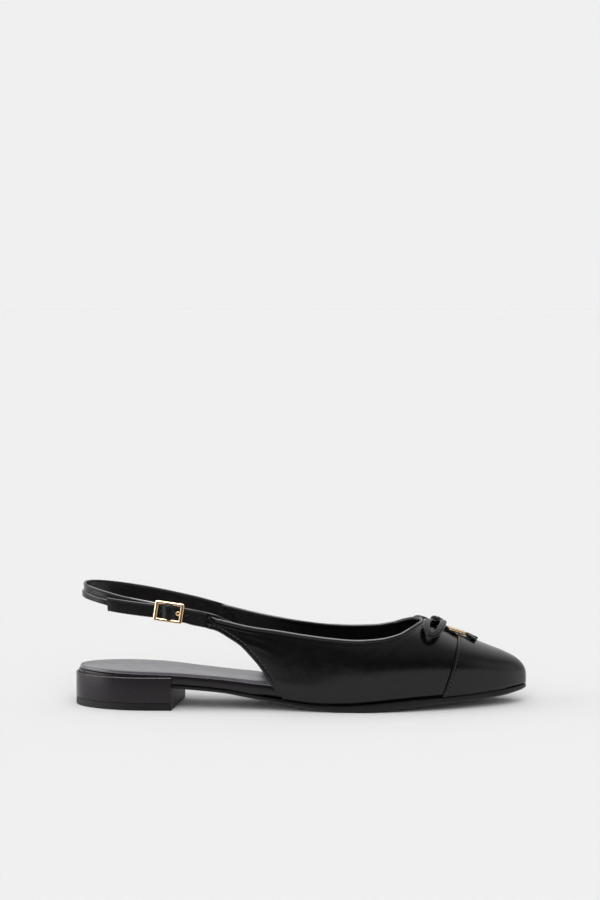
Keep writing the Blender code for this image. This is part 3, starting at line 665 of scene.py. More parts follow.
def makeHeel():
    h = heelForm
    floor = h["lift"] + h["joint"]
    inner = lastForm["gap"]
    levels = [(h["lip"] - h["edge"], level(floor)), (h["lip"], level(floor + h["edge"]))]
    middle, radius = (h["lip"] + inner) / 2, (h["lip"] - inner) / 2
    for a in np.linspace(0, pi, h["lipSteps"]):
        levels.append((middle + radius * cos(a), level(h["top"] - radius + radius * sin(a))))
    levels.append((inner, profile("soleBottom", -lastForm["gap"])))
    points, faces, slots = heelWall(levels)
    cover = makeObject("heel_cover", points, faces, [coverCalf, liningLeather], slots)
    finishPiece(cover, "heel", "heel_block", rolled=True)
    out = h["lip"] - h["liftInset"]
    lift = [(out - h["edge"], level(0.0)), (out, level(h["edge"])),
            (out, level(h["lift"] - h["edge"])), (out - h["edge"], level(h["lift"]))]
    points, faces, slots = heelWall(lift)
    piece = makeObject("lift_rubber", points, faces, [liftRubber, liftRubber], slots)
    finishPiece(piece, "lift", "heel_lift")


makeHeel()
print("heel made")


# Upper: vamp and both quarters on the last, with the rear edge folded round and its stitched groove
upperForm = {
    "wall": 1.4, "tailX": 75.0, "quarterFootX": 118.2, "throatX": 197.8, "quarterSteps": 76,
    "waistSteps": 84, "vampSteps": 64, "rows": 60, "edgeRows": (0.0, 0.06, 0.2, 0.42, 0.75, 1.1, 1.5),
    "rearEdgeSteps": 90, "foldRadius": 0.7, "foldLeast": 0.03, "grooveInset": 2.2, "grooveDepth": 0.18,
    "grooveWidth": 0.4, "grooveFade": (5.0, 9.0), "tuck": 0.75, "tuckHeight": 1.1, "topSeamInset": 1.7,
    "topSeamDepth": 0.13, "topSeamWidth": 0.35, "topSeamEvery": 3, "creaseRidge": 0.6, "creaseRidgeAt": 1.6,
}
# Creases on each side: middle x and z, direction in degrees, half length, half width, depth
creases = {
    "lateral": (
        (117.0, 37.4, 128, 3.6, 0.7, 0.26),
        (119.6, 36.9, 128, 3.2, 0.7, 0.24),
        (122.2, 36.1, 126, 2.8, 0.7, 0.20),
        (131.0, 33.0, 20, 9.0, 1.6, 0.13),
        (147.0, 31.5, 165, 10.0, 2.2, 0.15),
        (165.5, 33.0, 58, 2.8, 0.7, 0.26),
        (168.0, 33.4, 58, 2.8, 0.7, 0.24),
        (101.0, 39.5, 160, 6.0, 1.4, 0.12),
        (109.0, 36.8, 155, 6.0, 1.6, 0.12),
        (183.0, 34.0, 35, 7.0, 2.4, 0.14),
    ),
    "medial": (
        (120.0, 34.0, 130, 4.0, 0.8, 0.2),
        (140.0, 31.0, 168, 9.0, 2.0, 0.14),
        (166.0, 32.0, 60, 4.0, 1.0, 0.2),
        (180.0, 33.0, 40, 7.0, 2.2, 0.14),
    ),
}
# Low fullness of the outer quarter over the waist: middle x and z, half length, half height, depth
quarterBelly = (120.0, 7.0, 30.0, 11.0, 1.1)


def upperStations():
    u = upperForm
    quarter = np.linspace(u["tailX"], u["quarterFootX"], u["quarterSteps"])
    reach = u["throatX"] - u["quarterFootX"]
    waist = u["quarterFootX"] + reach * np.sin(np.linspace(0, pi / 2, u["waistSteps"]))
    reach = lastForm["tip"] - u["throatX"]
    vamp = u["throatX"] + reach * np.sin(np.linspace(0, pi / 2, u["vampSteps"]))
    return np.concatenate((quarter[:-1], waist[:-1], vamp))


def upperSpan(x, side):
    low = readTable(rearEdgeTable, "z", x) if x < upperForm["quarterFootX"] else 0.0
    high = readTable(topEdgeTable, side, x) if x < upperForm["throatX"] else lastCrest(x)
    return low, high


def upperSpread(girth):  # rows close together at the lower edge, then even
    edge = np.array(upperForm["edgeRows"]) / girth
    even = np.linspace(edge[-1], 1, upperForm["rows"] - len(edge) + 1)
    return np.concatenate((edge[:-1], even))


def rearEdgeDistance(grid, inset=0.0):  # from the quarter's rear edge, in the side view
    x = np.linspace(upperForm["tailX"], upperForm["quarterFootX"], upperForm["rearEdgeSteps"])
    z = readTable(rearEdgeTable, "z", x)
    flat = grid.reshape(-1, 3)
    apart = np.hypot(flat[:, :1] - x, flat[:, 2:] - z).min(axis=1)
    return np.abs(apart - inset).reshape(grid.shape[:2])


def topSeamDepth(grid, topEdge):  # the seam that holds the binding, a little below the top edge
    u = upperForm
    flat = grid.reshape(-1, 3)
    apart = np.full(len(flat), farAway)
    for a, b in zip(topEdge[:-1], topEdge[1:]):
        run = b - a
        share = np.clip(((flat - a) @ run) / (run @ run), 0.0, 1.0)
        apart = np.minimum(apart, np.linalg.norm(flat - a - share[:, None] * run, axis=1))
    depth = u["topSeamDepth"] * np.exp(-((apart - u["topSeamInset"]) / u["topSeamWidth"]) ** 2)
    return depth.reshape(grid.shape[:2])


def creaseDepth(grid, side):  # each trough has a ridge along one side
    ridge, ridgeAt = upperForm["creaseRidge"], upperForm["creaseRidgeAt"]
    depth = np.zeros(grid.shape[:2])
    for x, z, angle, halfLength, halfWidth, deep in creases[side]:
        a = radians(angle)
        offX, offZ = grid[..., 0] - x, grid[..., 2] - z
        along = (offX * cos(a) + offZ * sin(a)) / halfLength
        across = (-offX * sin(a) + offZ * cos(a)) / halfWidth
        fold = np.exp(-along ** 2) * (np.exp(-across ** 2) - ridge * np.exp(-(across - ridgeAt) ** 2))
        depth += deep * fold
    if side == "lateral":
        x, z, halfLength, halfHeight, full = quarterBelly
        along, tall = (grid[..., 0] - x) / halfLength, (grid[..., 2] - z) / halfHeight
        depth -= full * np.exp(-along ** 2 - tall ** 2)
    return depth


def sideNormals(outer, closed):  # out of each side, and shared along the middle line and at the tip
    normals = {side: gridNormals(outer[side]) * -sideSign[side] for side in sideNames}
    crest = unit(normals["lateral"][closed, -1] + normals["medial"][closed, -1])
    tip = unit(normals["lateral"][-1] + normals["medial"][-1])
    for side in sideNames:
        normals[side][closed, -1] = crest
        normals[side][-1] = tip
    return normals


def shellSide(skin, inner, first, side, openEdges):
    # Points of one side's wall, then its faces outside, inside and round the open edges
    columns, rows = skin.shape[:2]
    size = columns * rows
    flip = side == "lateral"
    outside = gridFaces(columns, rows, first, flip)
    inside = gridFaces(columns, rows, first + size, not flip)
    steps = [pair for run in openEdges for pair in zip(run, run[1:])]
    rim = [(first + a, first + b, first + b + size, first + a + size) for a, b in steps]
    return skin.reshape(-1, 3).tolist() + inner.reshape(-1, 3).tolist(), outside, inside, rim


def upperWall(grid, normal, stations, closed, side):  # the skin with its folds and seams, and the inside
    u = upperForm
    quarter = (stations < u["quarterFootX"])[:, None]
    near = np.clip(rearEdgeDistance(grid) / u["foldRadius"], 0.0, 1.0)
    fold = np.where(quarter, np.sqrt(np.maximum(1 - (1 - near) ** 2, u["foldLeast"])), 1.0)
    groove = np.exp(-(rearEdgeDistance(grid, u["grooveInset"]) / u["grooveWidth"]) ** 2)
    groove *= ramp(grid[..., 2], *u["grooveFade"]) * u["grooveDepth"]
    step = np.linalg.norm(np.diff(grid, axis=1), axis=2)
    above = np.concatenate((np.zeros((len(grid), 1)), np.cumsum(step, axis=1)), axis=1)
    tuck = np.where(quarter, 0.0, u["tuck"] * np.exp(-(above / u["tuckHeight"]) ** 2))
    sink = (u["wall"] / 2) * (1 - fold) + groove + creaseDepth(grid, side) + tuck
    sink += topSeamDepth(grid, grid[~closed, -1][::u["topSeamEvery"]])
    skin = grid - normal * sink[..., None]
    return skin, grid - normal * (u["wall"] / 2 * (1 + fold))[..., None]


def makeUpper():
    stations = upperStations()
    outer = {side: np.array([girthPoints(x, side, *upperSpan(x, side), upperSpread) for x in stations])
             for side in sideNames}
    closed = stations >= upperForm["throatX"] - 1e-6
    normals = sideNormals(outer, closed)
    points, faces, slots = [], [], []
    for side in sideNames:
        skin, inner = upperWall(outer[side], normals[side], stations, closed, side)
        columns, rows = skin.shape[:2]
        lower, tail = range(0, columns * rows, rows), range(rows)
        topEdge = range(rows - 1, (np.count_nonzero(~closed) + 1) * rows, rows)
        wall, outside, inside, rim = shellSide(skin, inner, len(points), side, (lower, topEdge, tail))
        points += wall
        faces += outside + inside + rim
        slots += [0] * len(outside) + [1] * len(inside) + [0] * len(rim)
    upper = makeObject("upper_calf", points, faces, [calf, liningLeather], slots, sharp=55)
    finishPiece(upper, "calf", "upper")


makeUpper()
print("upper made")


# Toe cap: the same last, laid over the vamp, with a folded seam edge
capForm = {"offset": 0.35, "thickness": 1.0, "footX": 205.9, "crestX": 216.3, "sweep": 2.2,
           "columns": 64, "rows": 64, "tuck": 1.0, "tuckShare": 0.035, "foldRadius": 0.65,
           "edgeColumns": (0.0, 0.05, 0.15, 0.3, 0.5, 0.75, 1.0, 1.15, 1.3, 1.45, 1.6, 1.9, 2.4),
           "seamInset": 1.3, "seamDepth": 0.22, "seamWidth": 0.22, "foldLeast": 0.02, "skinLeast": 0.05,
           "innerMost": 0.02, "innerTuck": 0.3}


def capGrid(side):
    c = capForm
    grid = []
    for share in np.linspace(0, 1, c["rows"]):
        seam = c["crestX"] - (c["crestX"] - c["footX"]) * (1 - share) ** c["sweep"]
        reach = lastForm["tip"] - seam
        edge = seam + np.array(c["edgeColumns"])
        turn = np.linspace(0, pi / 2, c["columns"])[1:]
        start = edge[-1]
        xs = np.concatenate((edge, start + (reach - c["edgeColumns"][-1]) * np.sin(turn)))
        grid.append([girthPoints(x, side, 0.0, lastCrest(x), lambda g: np.array((share,)))[0] for x in xs])
    return np.array(grid).swapaxes(0, 1)


def capWall(grid, normal):  # the skin with its folded edge and its seam, and the inside
    c = capForm
    columns, rows = grid.shape[:2]
    half = c["thickness"] / 2
    fromEdge = np.full(columns, farAway)
    fromEdge[:len(c["edgeColumns"])] = c["edgeColumns"]
    near = np.clip(fromEdge / c["foldRadius"], 0, 1)
    fold = np.sqrt(np.maximum(1 - (1 - near) ** 2, c["foldLeast"]))[:, None, None]
    seam = c["seamDepth"] * np.exp(-((fromEdge - c["seamInset"]) / c["seamWidth"]) ** 2)[:, None, None]
    tuck = c["tuck"] * np.exp(-(np.linspace(0, 1, rows) / c["tuckShare"]) ** 2)[None, :, None]
    skin = grid + normal * (c["offset"] + np.maximum(half * (1 + fold) - seam - tuck, c["skinLeast"]))
    sunk = np.minimum(half * (1 - fold), c["innerMost"]) - tuck * c["innerTuck"]
    return skin, grid + normal * (c["offset"] + sunk)


def makeToeCap():
    outer = {side: capGrid(side) for side in sideNames}
    normals = sideNormals(outer, slice(None))
    points, faces, seams = [], [], {}
    for side in sideNames:
        skin, inner = capWall(outer[side], normals[side])
        seams[side] = skin[capForm["edgeColumns"].index(capForm["seamInset"])]
        columns, rows = skin.shape[:2]
        lower, rear = range(0, columns * rows, rows), range(rows)
        wall, *kinds = shellSide(skin, inner, len(points), side, (lower, rear))
        points += wall
        faces += sum(kinds, [])
    finishPiece(makeObject("toe_cap_calf", points, faces, [calf], sharp=55), "calf", "toe_cap")
    return np.concatenate((seams["lateral"], seams["medial"][-2::-1]))


capSeam = makeToeCap()
print("toe cap made")


# Rolled binding on the top edge
bindingForm = {
    "radius": 1.25, "startX": 76.2, "startDrop": 1.7, "lean": 3.0, "around": 24, "sink": 0.45, "under": 2.0,
    "throatClear": 0.4, "taper": (0.15, 0.3, 0.45, 0.58, 0.7, 0.8, 0.88, 0.94, 0.98),
}


def makeBinding():
    b = bindingForm

    def pair(girth):  # a place a little under the top edge, and the edge itself
        return np.array((1 - b["under"] / girth, 1.0))

    places = [x for x in upperStations() if b["startX"] <= x < upperForm["throatX"] - b["throatClear"]]
    runs = {side: [girthPoints(x, side, *upperSpan(x, side), pair) for x in places] for side in sideNames}
    ahead = (upperForm["throatX"] + b["lean"], upperForm["throatX"])
    throat = [(x, readTable(lastTable, "crestY", x), lastCrest(x)) for x in ahead]
    pairs = np.array(runs["lateral"] + [throat] + runs["medial"][::-1])
    edge = pairs[:, 1]
    tangent = unit(np.gradient(edge, axis=0))
    rise = edge - pairs[:, 0]
    rise = unit(rise - (rise * tangent).sum(axis=1, keepdims=True) * tangent)
    inward = np.cross(rise, tangent)
    path = edge + rise * (b["radius"] + lastForm["gap"] - b["sink"]) + inward * upperForm["wall"] / 2
    turn = np.linspace(0, 2 * pi, b["around"], endpoint=False)
    loop = b["radius"] * np.column_stack((np.cos(turn), np.sin(turn)))
    taper = np.ones(len(path))
    taper[:len(b["taper"])] = b["taper"]
    taper[-len(b["taper"]):] = b["taper"][::-1]
    path -= rise * ((1 - taper) * b["startDrop"])[:, None]
    profiles = loop[None] * taper[:, None, None]
    piece = makeObject("binding_calf", *sweep(path, inward, rise, profiles), [calf])
    finishPiece(piece, "calf", "topline_binding", rolled=True)


makeBinding()
print("binding made")


# Straps
slingTable = table(
    "x lateral medial",
    (4, 69.6, 69.6),
    (15, 67.1, 68.0),
    (26, 64.5, 66.2),
    (46, 60.4, 62.5),
    (57, 58.2, 60.2),
    (70, 55.8, 57.3),
    (80, 53.6, 54.4),
    (85, 51.2, 52.6),
    (90, 49.0, 51.0),
)
strapForm = {
    "thickness": 1.2, "width": 7.6, "flare": 1.2, "endX": 89.0, "edge": 0.35, "bead": 0.75, "lean": 6.0,
    "flareX": {"lateral": (56.0, 68.0), "medial": (10.0, 40.0)}, "beadSteps": 17, "riseSteps": 26,
    "cornerSteps": 5, "sharp": 60,
}
slingForm = {
    "rear": 5.3, "turnX": 48.0, "power": 2.3, "halfWidth": 26.4, "endX": 57.0, "out": 0.6, "in": 1.6,
    "sewn": 2.2, "sewnX": (77.0, 86.0), "turnSteps": 60, "endSteps": 10, "medialSteps": 34, "lobe": 0.9,
    "lobeX": 30.0, "lobeTop": -0.6, "lobeSoft": 0.5, "fold": 0.18, "foldWidth": 0.25,
}
holedForm = {
    "tipX": 19.3, "tipLean": 1.0, "tipRows": (0.0, 0.1, 0.35, 0.7, 1.0),
    "tipShare": (0.25, 0.5, 0.8, 0.95, 1.0),
    "laidX": 46.0, "y": -27.9, "clearance": 0.1, "buckleX": 53.7, "weaveRise": 2.2, "weaveReach": 3.2,
    "steps": 150, "holes": (49.3, 56.4, 63.6, 70.9), "holeRadius": 0.75, "holeDepth": 0.9, "holeSides": 16,
    "punchOut": 3.0, "windowX": (45.0, 47.5, 60.0, 63.0), "windowExtra": 0.9,
}
holedTable = table(
    "x y top",
    (20, 0.0, 63.1),
    (46, holedForm["y"], 60.0),
    (54, holedForm["y"], 59.3),
    (62, holedForm["y"], 57.8),
    (68, -27.5, 56.6),
    (75, -26.5, 55.0),
    (80, -26.4, 53.6),
    (85, -26.5, 51.2),
    (90, -26.6, 49.0),
)


def slingY(x, side):
    s = slingForm
    bow = np.maximum(0.0, (s["turnX"] - x) / (s["turnX"] - s["rear"]))
    return sideSign[side] * s["halfWidth"] * np.maximum(0.0, 1 - bow ** s["power"]) ** (1 / s["power"])


def strapWidth(x, side):
    return strapForm["width"] + strapForm["flare"] * ramp(x, *strapForm["flareX"][side])


def strapLoop(width):  # a flat band whose top edge is turned over a cord, in across and up
    f = strapForm
    body, bead, edge = f["thickness"] / 2, f["bead"], f["edge"]
    top = width / 2 - bead
    meet = np.arccos(body / bead)
    turn = np.linspace(-meet, pi + meet, f["beadSteps"])
    rolled = np.column_stack((bead * np.cos(turn), top + bead * np.sin(turn)))
    rise = np.linspace(edge - width / 2, rolled[0, 1], f["riseSteps"])[:-1]
    corner = np.linspace(-pi / 2, 0, f["cornerSteps"])
    outer = np.column_stack((body - edge + edge * np.cos(corner), edge - width / 2 + edge * np.sin(corner)))
    right = np.concatenate((outer, np.column_stack((np.full(len(rise) - 1, body), rise[1:]))))
    left = right[::-1] * (-1, 1)
    return np.concatenate((right, rolled, left))


def strapFrame(path, turnSign):  # outward and up along a strap, leaning from the outer side to the inner
    flat = np.gradient(path, axis=0)
    flat[:, 2] = 0
    outward = turnSign * np.cross(unit(flat), (0, 0, -1.0))
    a = radians(strapForm["lean"]) * -outward[:, 1:2]
    upright = np.array((0.0, 0.0, 1.0))
    return outward * np.cos(a) + upright * np.sin(a), upright * np.cos(a) - outward * np.sin(a)


def makeSling():
    s = slingForm
    turn = np.linspace(0, pi / 2, s["turnSteps"])
    roundX = s["turnX"] - (s["turnX"] - s["rear"]) * np.sin(turn) ** (2 / s["power"])
    lateral = np.concatenate((np.linspace(s["endX"], s["turnX"], s["endSteps"])[:-1], roundX))
    forward = np.linspace(s["turnX"], strapForm["endX"], s["medialSteps"])
    medial = np.concatenate((roundX[-2::-1], forward[1:]))
    path, profiles = [], []
    for x in lateral:
        y = slingY(x, "lateral") - s["out"] * ramp(x, s["turnX"], s["endX"])
        path.append((x, y, readTable(slingTable, "lateral", x) - strapForm["width"] / 2))
        profiles.append(strapLoop(strapForm["width"]))
    for x in medial:
        y = slingY(x, "medial") - s["in"] * ramp(x, s["turnX"], upperForm["tailX"])
        y += s["sewn"] * ramp(x, *s["sewnX"])
        width = strapWidth(x, "medial")
        path.append((x, y, readTable(slingTable, "medial", x) - width / 2))
        profiles.append(strapLoop(width))
    path, profiles = np.array(path), np.array(profiles)
    outward, up = strapFrame(path, 1.0)
    rear = ramp(-path[:, 0], -s["lobeX"], -s["rear"])[:, None]
    outside = profiles[..., 0] > 0
    low = ramp(s["lobeTop"] - profiles[..., 1], 0.0, s["lobeSoft"])
    fold = s["fold"] * np.exp(-((profiles[..., 1] - s["lobeTop"]) / s["foldWidth"]) ** 2)
    profiles[..., 0] += np.where(outside, s["lobe"] * rear * low - fold, 0.0)
    piece = makeObject("sling_calf", *sweep(path, outward, up, profiles), [calf], sharp=strapForm["sharp"])
    finishPiece(piece, "calf", "sling_strap", rolled=True)


def holedY(x):
    h = holedForm
    apart = strapForm["thickness"] + lastForm["gap"] + h["clearance"]
    step = slopeStep
    slope = (slingY(x + step, "lateral") - slingY(x - step, "lateral")) / (2 * step)
    laid = slingY(x, "lateral") - apart * np.sqrt(1 + slope ** 2)
    base = np.where(x < h["laidX"], laid, readTable(holedTable, "y", x))
    return base - h["weaveRise"] * np.exp(-((x - h["buckleX"]) / h["weaveReach"]) ** 2)


def makeHoledStrap():
    h = holedForm
    tip = h["tipX"] + strapForm["edge"] * np.array(h["tipRows"])
    places = np.concatenate((tip[:-1], np.linspace(tip[-1], strapForm["endX"], h["steps"])))
    rise, full, fall, end = h["windowX"]
    extra = h["windowExtra"] * ramp(places, rise, full) * (1 - ramp(places, fall, end))
    middle = readTable(holedTable, "top", places) - strapWidth(places, "lateral") / 2
    widths = strapWidth(places, "lateral") + extra  # the strap fills the buckle's window
    path = np.column_stack((places, holedY(places), middle))
    outward, up = strapFrame(path, -1.0)
    profiles = np.array([strapLoop(width) for width in widths])
    shrink = np.ones(len(path))
    shrink[:len(tip)] = h["tipShare"]
    profiles[..., 0] *= shrink[:, None]
    lean = h["tipLean"] * (1 - ramp(places, h["tipX"], h["tipX"] + strapForm["width"]))
    up[:, 0] -= lean / strapForm["width"]
    strap = sweep(path, outward, up, profiles)
    piece = makeObject("holed_strap_calf", *strap, [calf], sharp=strapForm["sharp"])
    cutPiece(piece, makeObject("punch", *punches(), [calf]), strapForm["sharp"])
    finishPiece(piece, "calf", "buckle_strap", rolled=True)


def punches():  # one round punch for each blind hole
    h = holedForm
    points, faces = [], []
    count = h["holeSides"]
    turn = np.linspace(0, 2 * pi, count, endpoint=False)
    for x in h["holes"]:
        z = readTable(holedTable, "top", x) - strapWidth(x, "lateral") / 2
        first = len(points)
        for y in (holedY(x) - h["punchOut"], holedY(x) + h["holeDepth"] - strapForm["thickness"] / 2):
            points += [(x + h["holeRadius"] * cos(a), y, z + h["holeRadius"] * sin(a)) for a in turn]
        faces += [(first + k, first + (k + 1) % count, first + count + (k + 1) % count, first + count + k)
                  for k in range(count)]
        faces += [tuple(range(first, first + count)), tuple(range(first + count, first + 2 * count))]
    return points, faces


def cutPiece(piece, cutter, sharp):
    change = piece.modifiers.new("cut", "BOOLEAN")
    change.object = cutter
    depsgraph = bpy.context.evaluated_depsgraph_get()
    made = bpy.data.meshes.new_from_object(piece.evaluated_get(depsgraph))
    piece.modifiers.clear()
    piece.data = made
    made.shade_smooth()
    made.set_sharp_from_angle(angle=radians(sharp))
    bpy.data.objects.remove(cutter)


makeSling()
makeHoledStrap()
print("straps made")


# Buckle: a bevelled frame, its centre bar under the strap, and the prong's curled tip
buckleForm = {
    "x": 53.7, "z": 55.6, "length": 16.1, "height": 11.1, "depth": 1.6, "tilt": 8.5, "lean": 7.0,
    "cornerRadius": 0.7, "cornerLeast": 0.15, "cornerSteps": 6, "sideBar": 1.9, "topBar": 1.5,
    "bevel": 0.42, "barRadius": 0.6, "barSink": 0.2, "barInset": 0.7, "prongX": 58.8, "prongZ": 54.7,
    "prongCurl": 0.95, "prongWire": 0.4, "prongSteps": (36, 12), "stub": (2.6, 0.2, -0.3),
}


def frameLoop(insetX, insetZ, y):  # rounded rectangle in the buckle's own plane
    b = buckleForm
    radius = max(b["cornerRadius"] - max(insetX, insetZ) / 2, b["cornerLeast"])
    loop = roundedRect(b["length"] / 2 - insetX, b["height"] / 2 - insetZ, radius, b["cornerSteps"], side=2)
    return [(x, y, z) for x, z in loop]


def ringFaces(rings, around):  # a closed tube of closed rings
    faces = []
    for i in range(rings):
        for j in range(around):
            k, n = (j + 1) % around, (i + 1) % rings
            faces.append((i * around + j, i * around + k, n * around + k, n * around + j))
    return faces


def rod(start, end, radius, around=14):
    start, end = np.array(start, float), np.array(end, float)
    direction = unit(end - start)
    aside = (0.3, 1.0, 0.2)  # a direction that no rod runs in
    across = unit(np.cross(direction, aside))
    up = np.cross(direction, across)
    turn = np.linspace(0, 2 * pi, around, endpoint=False)
    loop = np.column_stack((np.cos(turn), np.sin(turn))) * radius
    ends = np.array((start, end))
    return sweep(ends, np.tile(across, (2, 1)), np.tile(up, (2, 1)), np.repeat(loop[None], 2, 0))


def tilted(points):  # the buckle leans with the strap, and stands on it
    b = buckleForm
    a = radians(b["tilt"])
    y = holedForm["y"] - strapForm["thickness"] / 2 - lastForm["gap"] - b["depth"] / 2
    lean = radians(b["lean"])
    p = np.asarray(points, float)
    deep = p[:, 1] * cos(lean) + p[:, 2] * sin(lean)
    tall = p[:, 2] * cos(lean) - p[:, 1] * sin(lean)
    x = p[:, 0] * cos(a) + tall * sin(a)
    z = -p[:, 0] * sin(a) + tall * cos(a)
    return np.column_stack((x + b["x"], deep + y, z + b["z"]))


def makeBuckle():
    b = buckleForm
    bevel, side, top, half = b["bevel"], b["sideBar"], b["topBar"], b["depth"] / 2
    # The bar's section from the outer edge to the window: inset at the sides, inset at the top, depth
    section = ((0.0, 0.0, half), (0.0, 0.0, bevel - half), (bevel, bevel, -half),
               (side - bevel, top - bevel, -half), (side, top, bevel - half), (side, top, half))
    points = [point for corner in section for point in frameLoop(*corner)]
    around = len(points) // len(section)
    frameMesh = (tilted(points), ringFaces(len(section), around))
    reach = b["height"] / 2 - b["barInset"]
    barY = half + b["barSink"]
    barPoints, barFaces = rod((0, barY, -reach), (0, barY, reach), b["barRadius"])
    piece = joinMeshes("buckle_gold", [frameMesh, (tilted(barPoints), barFaces)], gold, sharp=25)
    finishPiece(piece, "gold", "buckle_frame", rolled=True)


def makeProng():
    b = buckleForm
    around, sides = b["prongSteps"]
    y = holedY(b["prongX"]) - strapForm["thickness"] / 2 - lastForm["gap"] - b["prongWire"]
    deep = np.array((0.0, 1.0, 0.0))
    points = []
    for a in np.linspace(0, 2 * pi, around, endpoint=False):
        middle = np.array((b["prongX"] + b["prongCurl"] * cos(a), y, b["prongZ"] + b["prongCurl"] * sin(a)))
        outward = np.array((cos(a), 0.0, sin(a)))
        for t in np.linspace(0, 2 * pi, sides, endpoint=False):
            points.append(middle + b["prongWire"] * (cos(t) * outward + sin(t) * deep))
    reach, sink, drop = b["stub"]
    start = (b["prongX"] + b["prongCurl"], y, b["prongZ"])
    stub = rod(start, (b["prongX"] + reach, y + sink, b["prongZ"] + drop), b["prongWire"])
    piece = joinMeshes("prong_gold", [(points, ringFaces(around, sides)), stub], gold, sharp=50)
    finishPiece(piece, "gold", "buckle_prong", rolled=True)


makeBuckle()
makeProng()
print("buckle made")


# Bow: rolled lace with a groove along it, its knot, two tails and a flat sleeve
bowForm = {
    "knotX": 204.2, "knotY": 2.0, "knotHalf": (4.3, 3.4, 2.6), "knotDrop": 0.35, "knotOut": 0.6,
    "knotSteps": (48, 32), "knotPower": 0.8, "wrapDepth": 0.10, "wrapAt": 0.28, "wrapWidth": 0.09,
    "loopMiddle": {"lateral": 14.6, "medial": 14.2}, "loopHalfLength": {"lateral": 11.6, "medial": 11.2},
    "loopHalfWidth": {"lateral": 4.5, "medial": 3.4}, "loopFacing": (0.0, -0.5, 1.0),
    "loopLean": {"lateral": (-0.2, -0.98), "medial": (-0.4, 0.917)}, "stand": 2.2, "standReach": 12.0,
    "dip": 6.0, "mouth": 18, "tuckIn": (1.0, 0.5), "laceAround": 28,
    "laceHalf": {"lateral": (1.95, 1.15), "medial": (1.4, 0.9)}, "groove": 0.42, "grooveWidth": 0.55,
    "rise": {"lateral": 1.85, "medial": 1.0},
    "steps": 64, "sleeve": (9.6, 7.0, 1.8), "sleeveX": 215.2, "sleeveWall": 0.25, "sleeveEdge": 0.1,
    "sleeveCorner": 0.7, "laceRise": (1.35, 2.8), "laceClimb": (207.0, 221.0), "tailThickness": 1.1,
    "tailSwell": 0.75, "tailWidth": 2.7, "tailEndX": {"lateral": 226.0, "medial": 227.6},
    "tailSplay": {"lateral": 4.2, "medial": 1.5}, "tailTuck": 0.6, "tailApart": 0.2, "tailEdge": 0.4,
    "tailSteps": 44, "tailTip": (0.8, 0.45, 0.2, 0.05, 0.0), "tailTipShare": (0.95, 0.8, 0.5, 0.2),
    "press": 2.0,
}
padForm = {
    "x": (205.4, 216.4), "steps": 24, "climb": (205.0, 210.5), "fall": (214.5, 216.4), "least": 0.25,
    "full": 0.75, "fallShare": 0.8, "seat": 0.06, "half": (2.6, 0.5), "edge": 0.3,
}


def laceProfile(half):  # flattened cord with a groove on both broad faces
    turn = np.linspace(0, 2 * pi, bowForm["laceAround"], endpoint=False)
    loop = np.column_stack((half[0] * np.cos(turn), half[1] * np.sin(turn)))
    press = bowForm["groove"] * np.exp(-(loop[:, 0] / bowForm["grooveWidth"]) ** 2)
    loop[:, 1] -= np.sign(loop[:, 1]) * press
    return loop


def loopPoint(side, out, across):  # the inner loop lies on the vamp, the outer one stands off it
    b = bowForm
    leanX, leanY = b["loopLean"][side]
    x, y = b["knotX"] + leanX * out, b["knotY"] + leanY * out
    if side == "medial":
        return overVamp(x - leanY * across, y + leanX * across, b["rise"][side])
    dip = radians(b["dip"])
    stand = b["stand"] * ramp(out, 0, b["standReach"])
    return overVamp(x, y, b["rise"][side] + stand) + across * np.array((cos(dip), 0, -sin(dip)))


def makeLoop(side):
    b = bowForm
    mouth = radians(b["mouth"])
    turn = np.linspace(mouth, 2 * pi - mouth, b["steps"])
    outs = b["loopMiddle"][side] - b["loopHalfLength"][side] * np.cos(turn)
    acrosses = b["loopHalfWidth"][side] * np.sin(turn)
    start, width = b["tuckIn"]
    outs = np.concatenate(((start,), outs, (start,)))
    acrosses = np.concatenate(((width,), acrosses, (-width,)))
    path, face, step = [], [], slopeStep
    for out, across in zip(outs, acrosses):
        path.append(loopPoint(side, out, across))
        outward = loopPoint(side, out + step, across) - loopPoint(side, out - step, across)
        sideways = loopPoint(side, out, across + step) - loopPoint(side, out, across - step)
        normal = np.cross(outward, sideways)
        face.append(normal * np.sign(normal @ b["loopFacing"]))
    path, face = np.array(path), np.array(face)
    tangent = unit(np.gradient(path, axis=0))
    across = unit(np.cross(tangent, face))
    face = np.cross(across, tangent)
    profiles = np.repeat(laceProfile(b["laceHalf"][side])[None], len(path), axis=0)
    piece = makeObject("bow_loop_calf_" + side, *sweep(path, across, face, profiles), [calf], sharp=60)
    finishPiece(piece, "calf", "bow_loop_" + side)


def laceRise(x):  # the tails climb from the vamp onto the toe cap
    low, high = bowForm["laceRise"]
    return low + (high - low) * ramp(x, *bowForm["laceClimb"])


def knotFrame(x):
    normal = vampNormal(x, bowForm["knotY"])
    ahead = unit(np.cross((0.0, 1.0, 0.0), normal))
    return ahead, np.cross(normal, ahead), normal


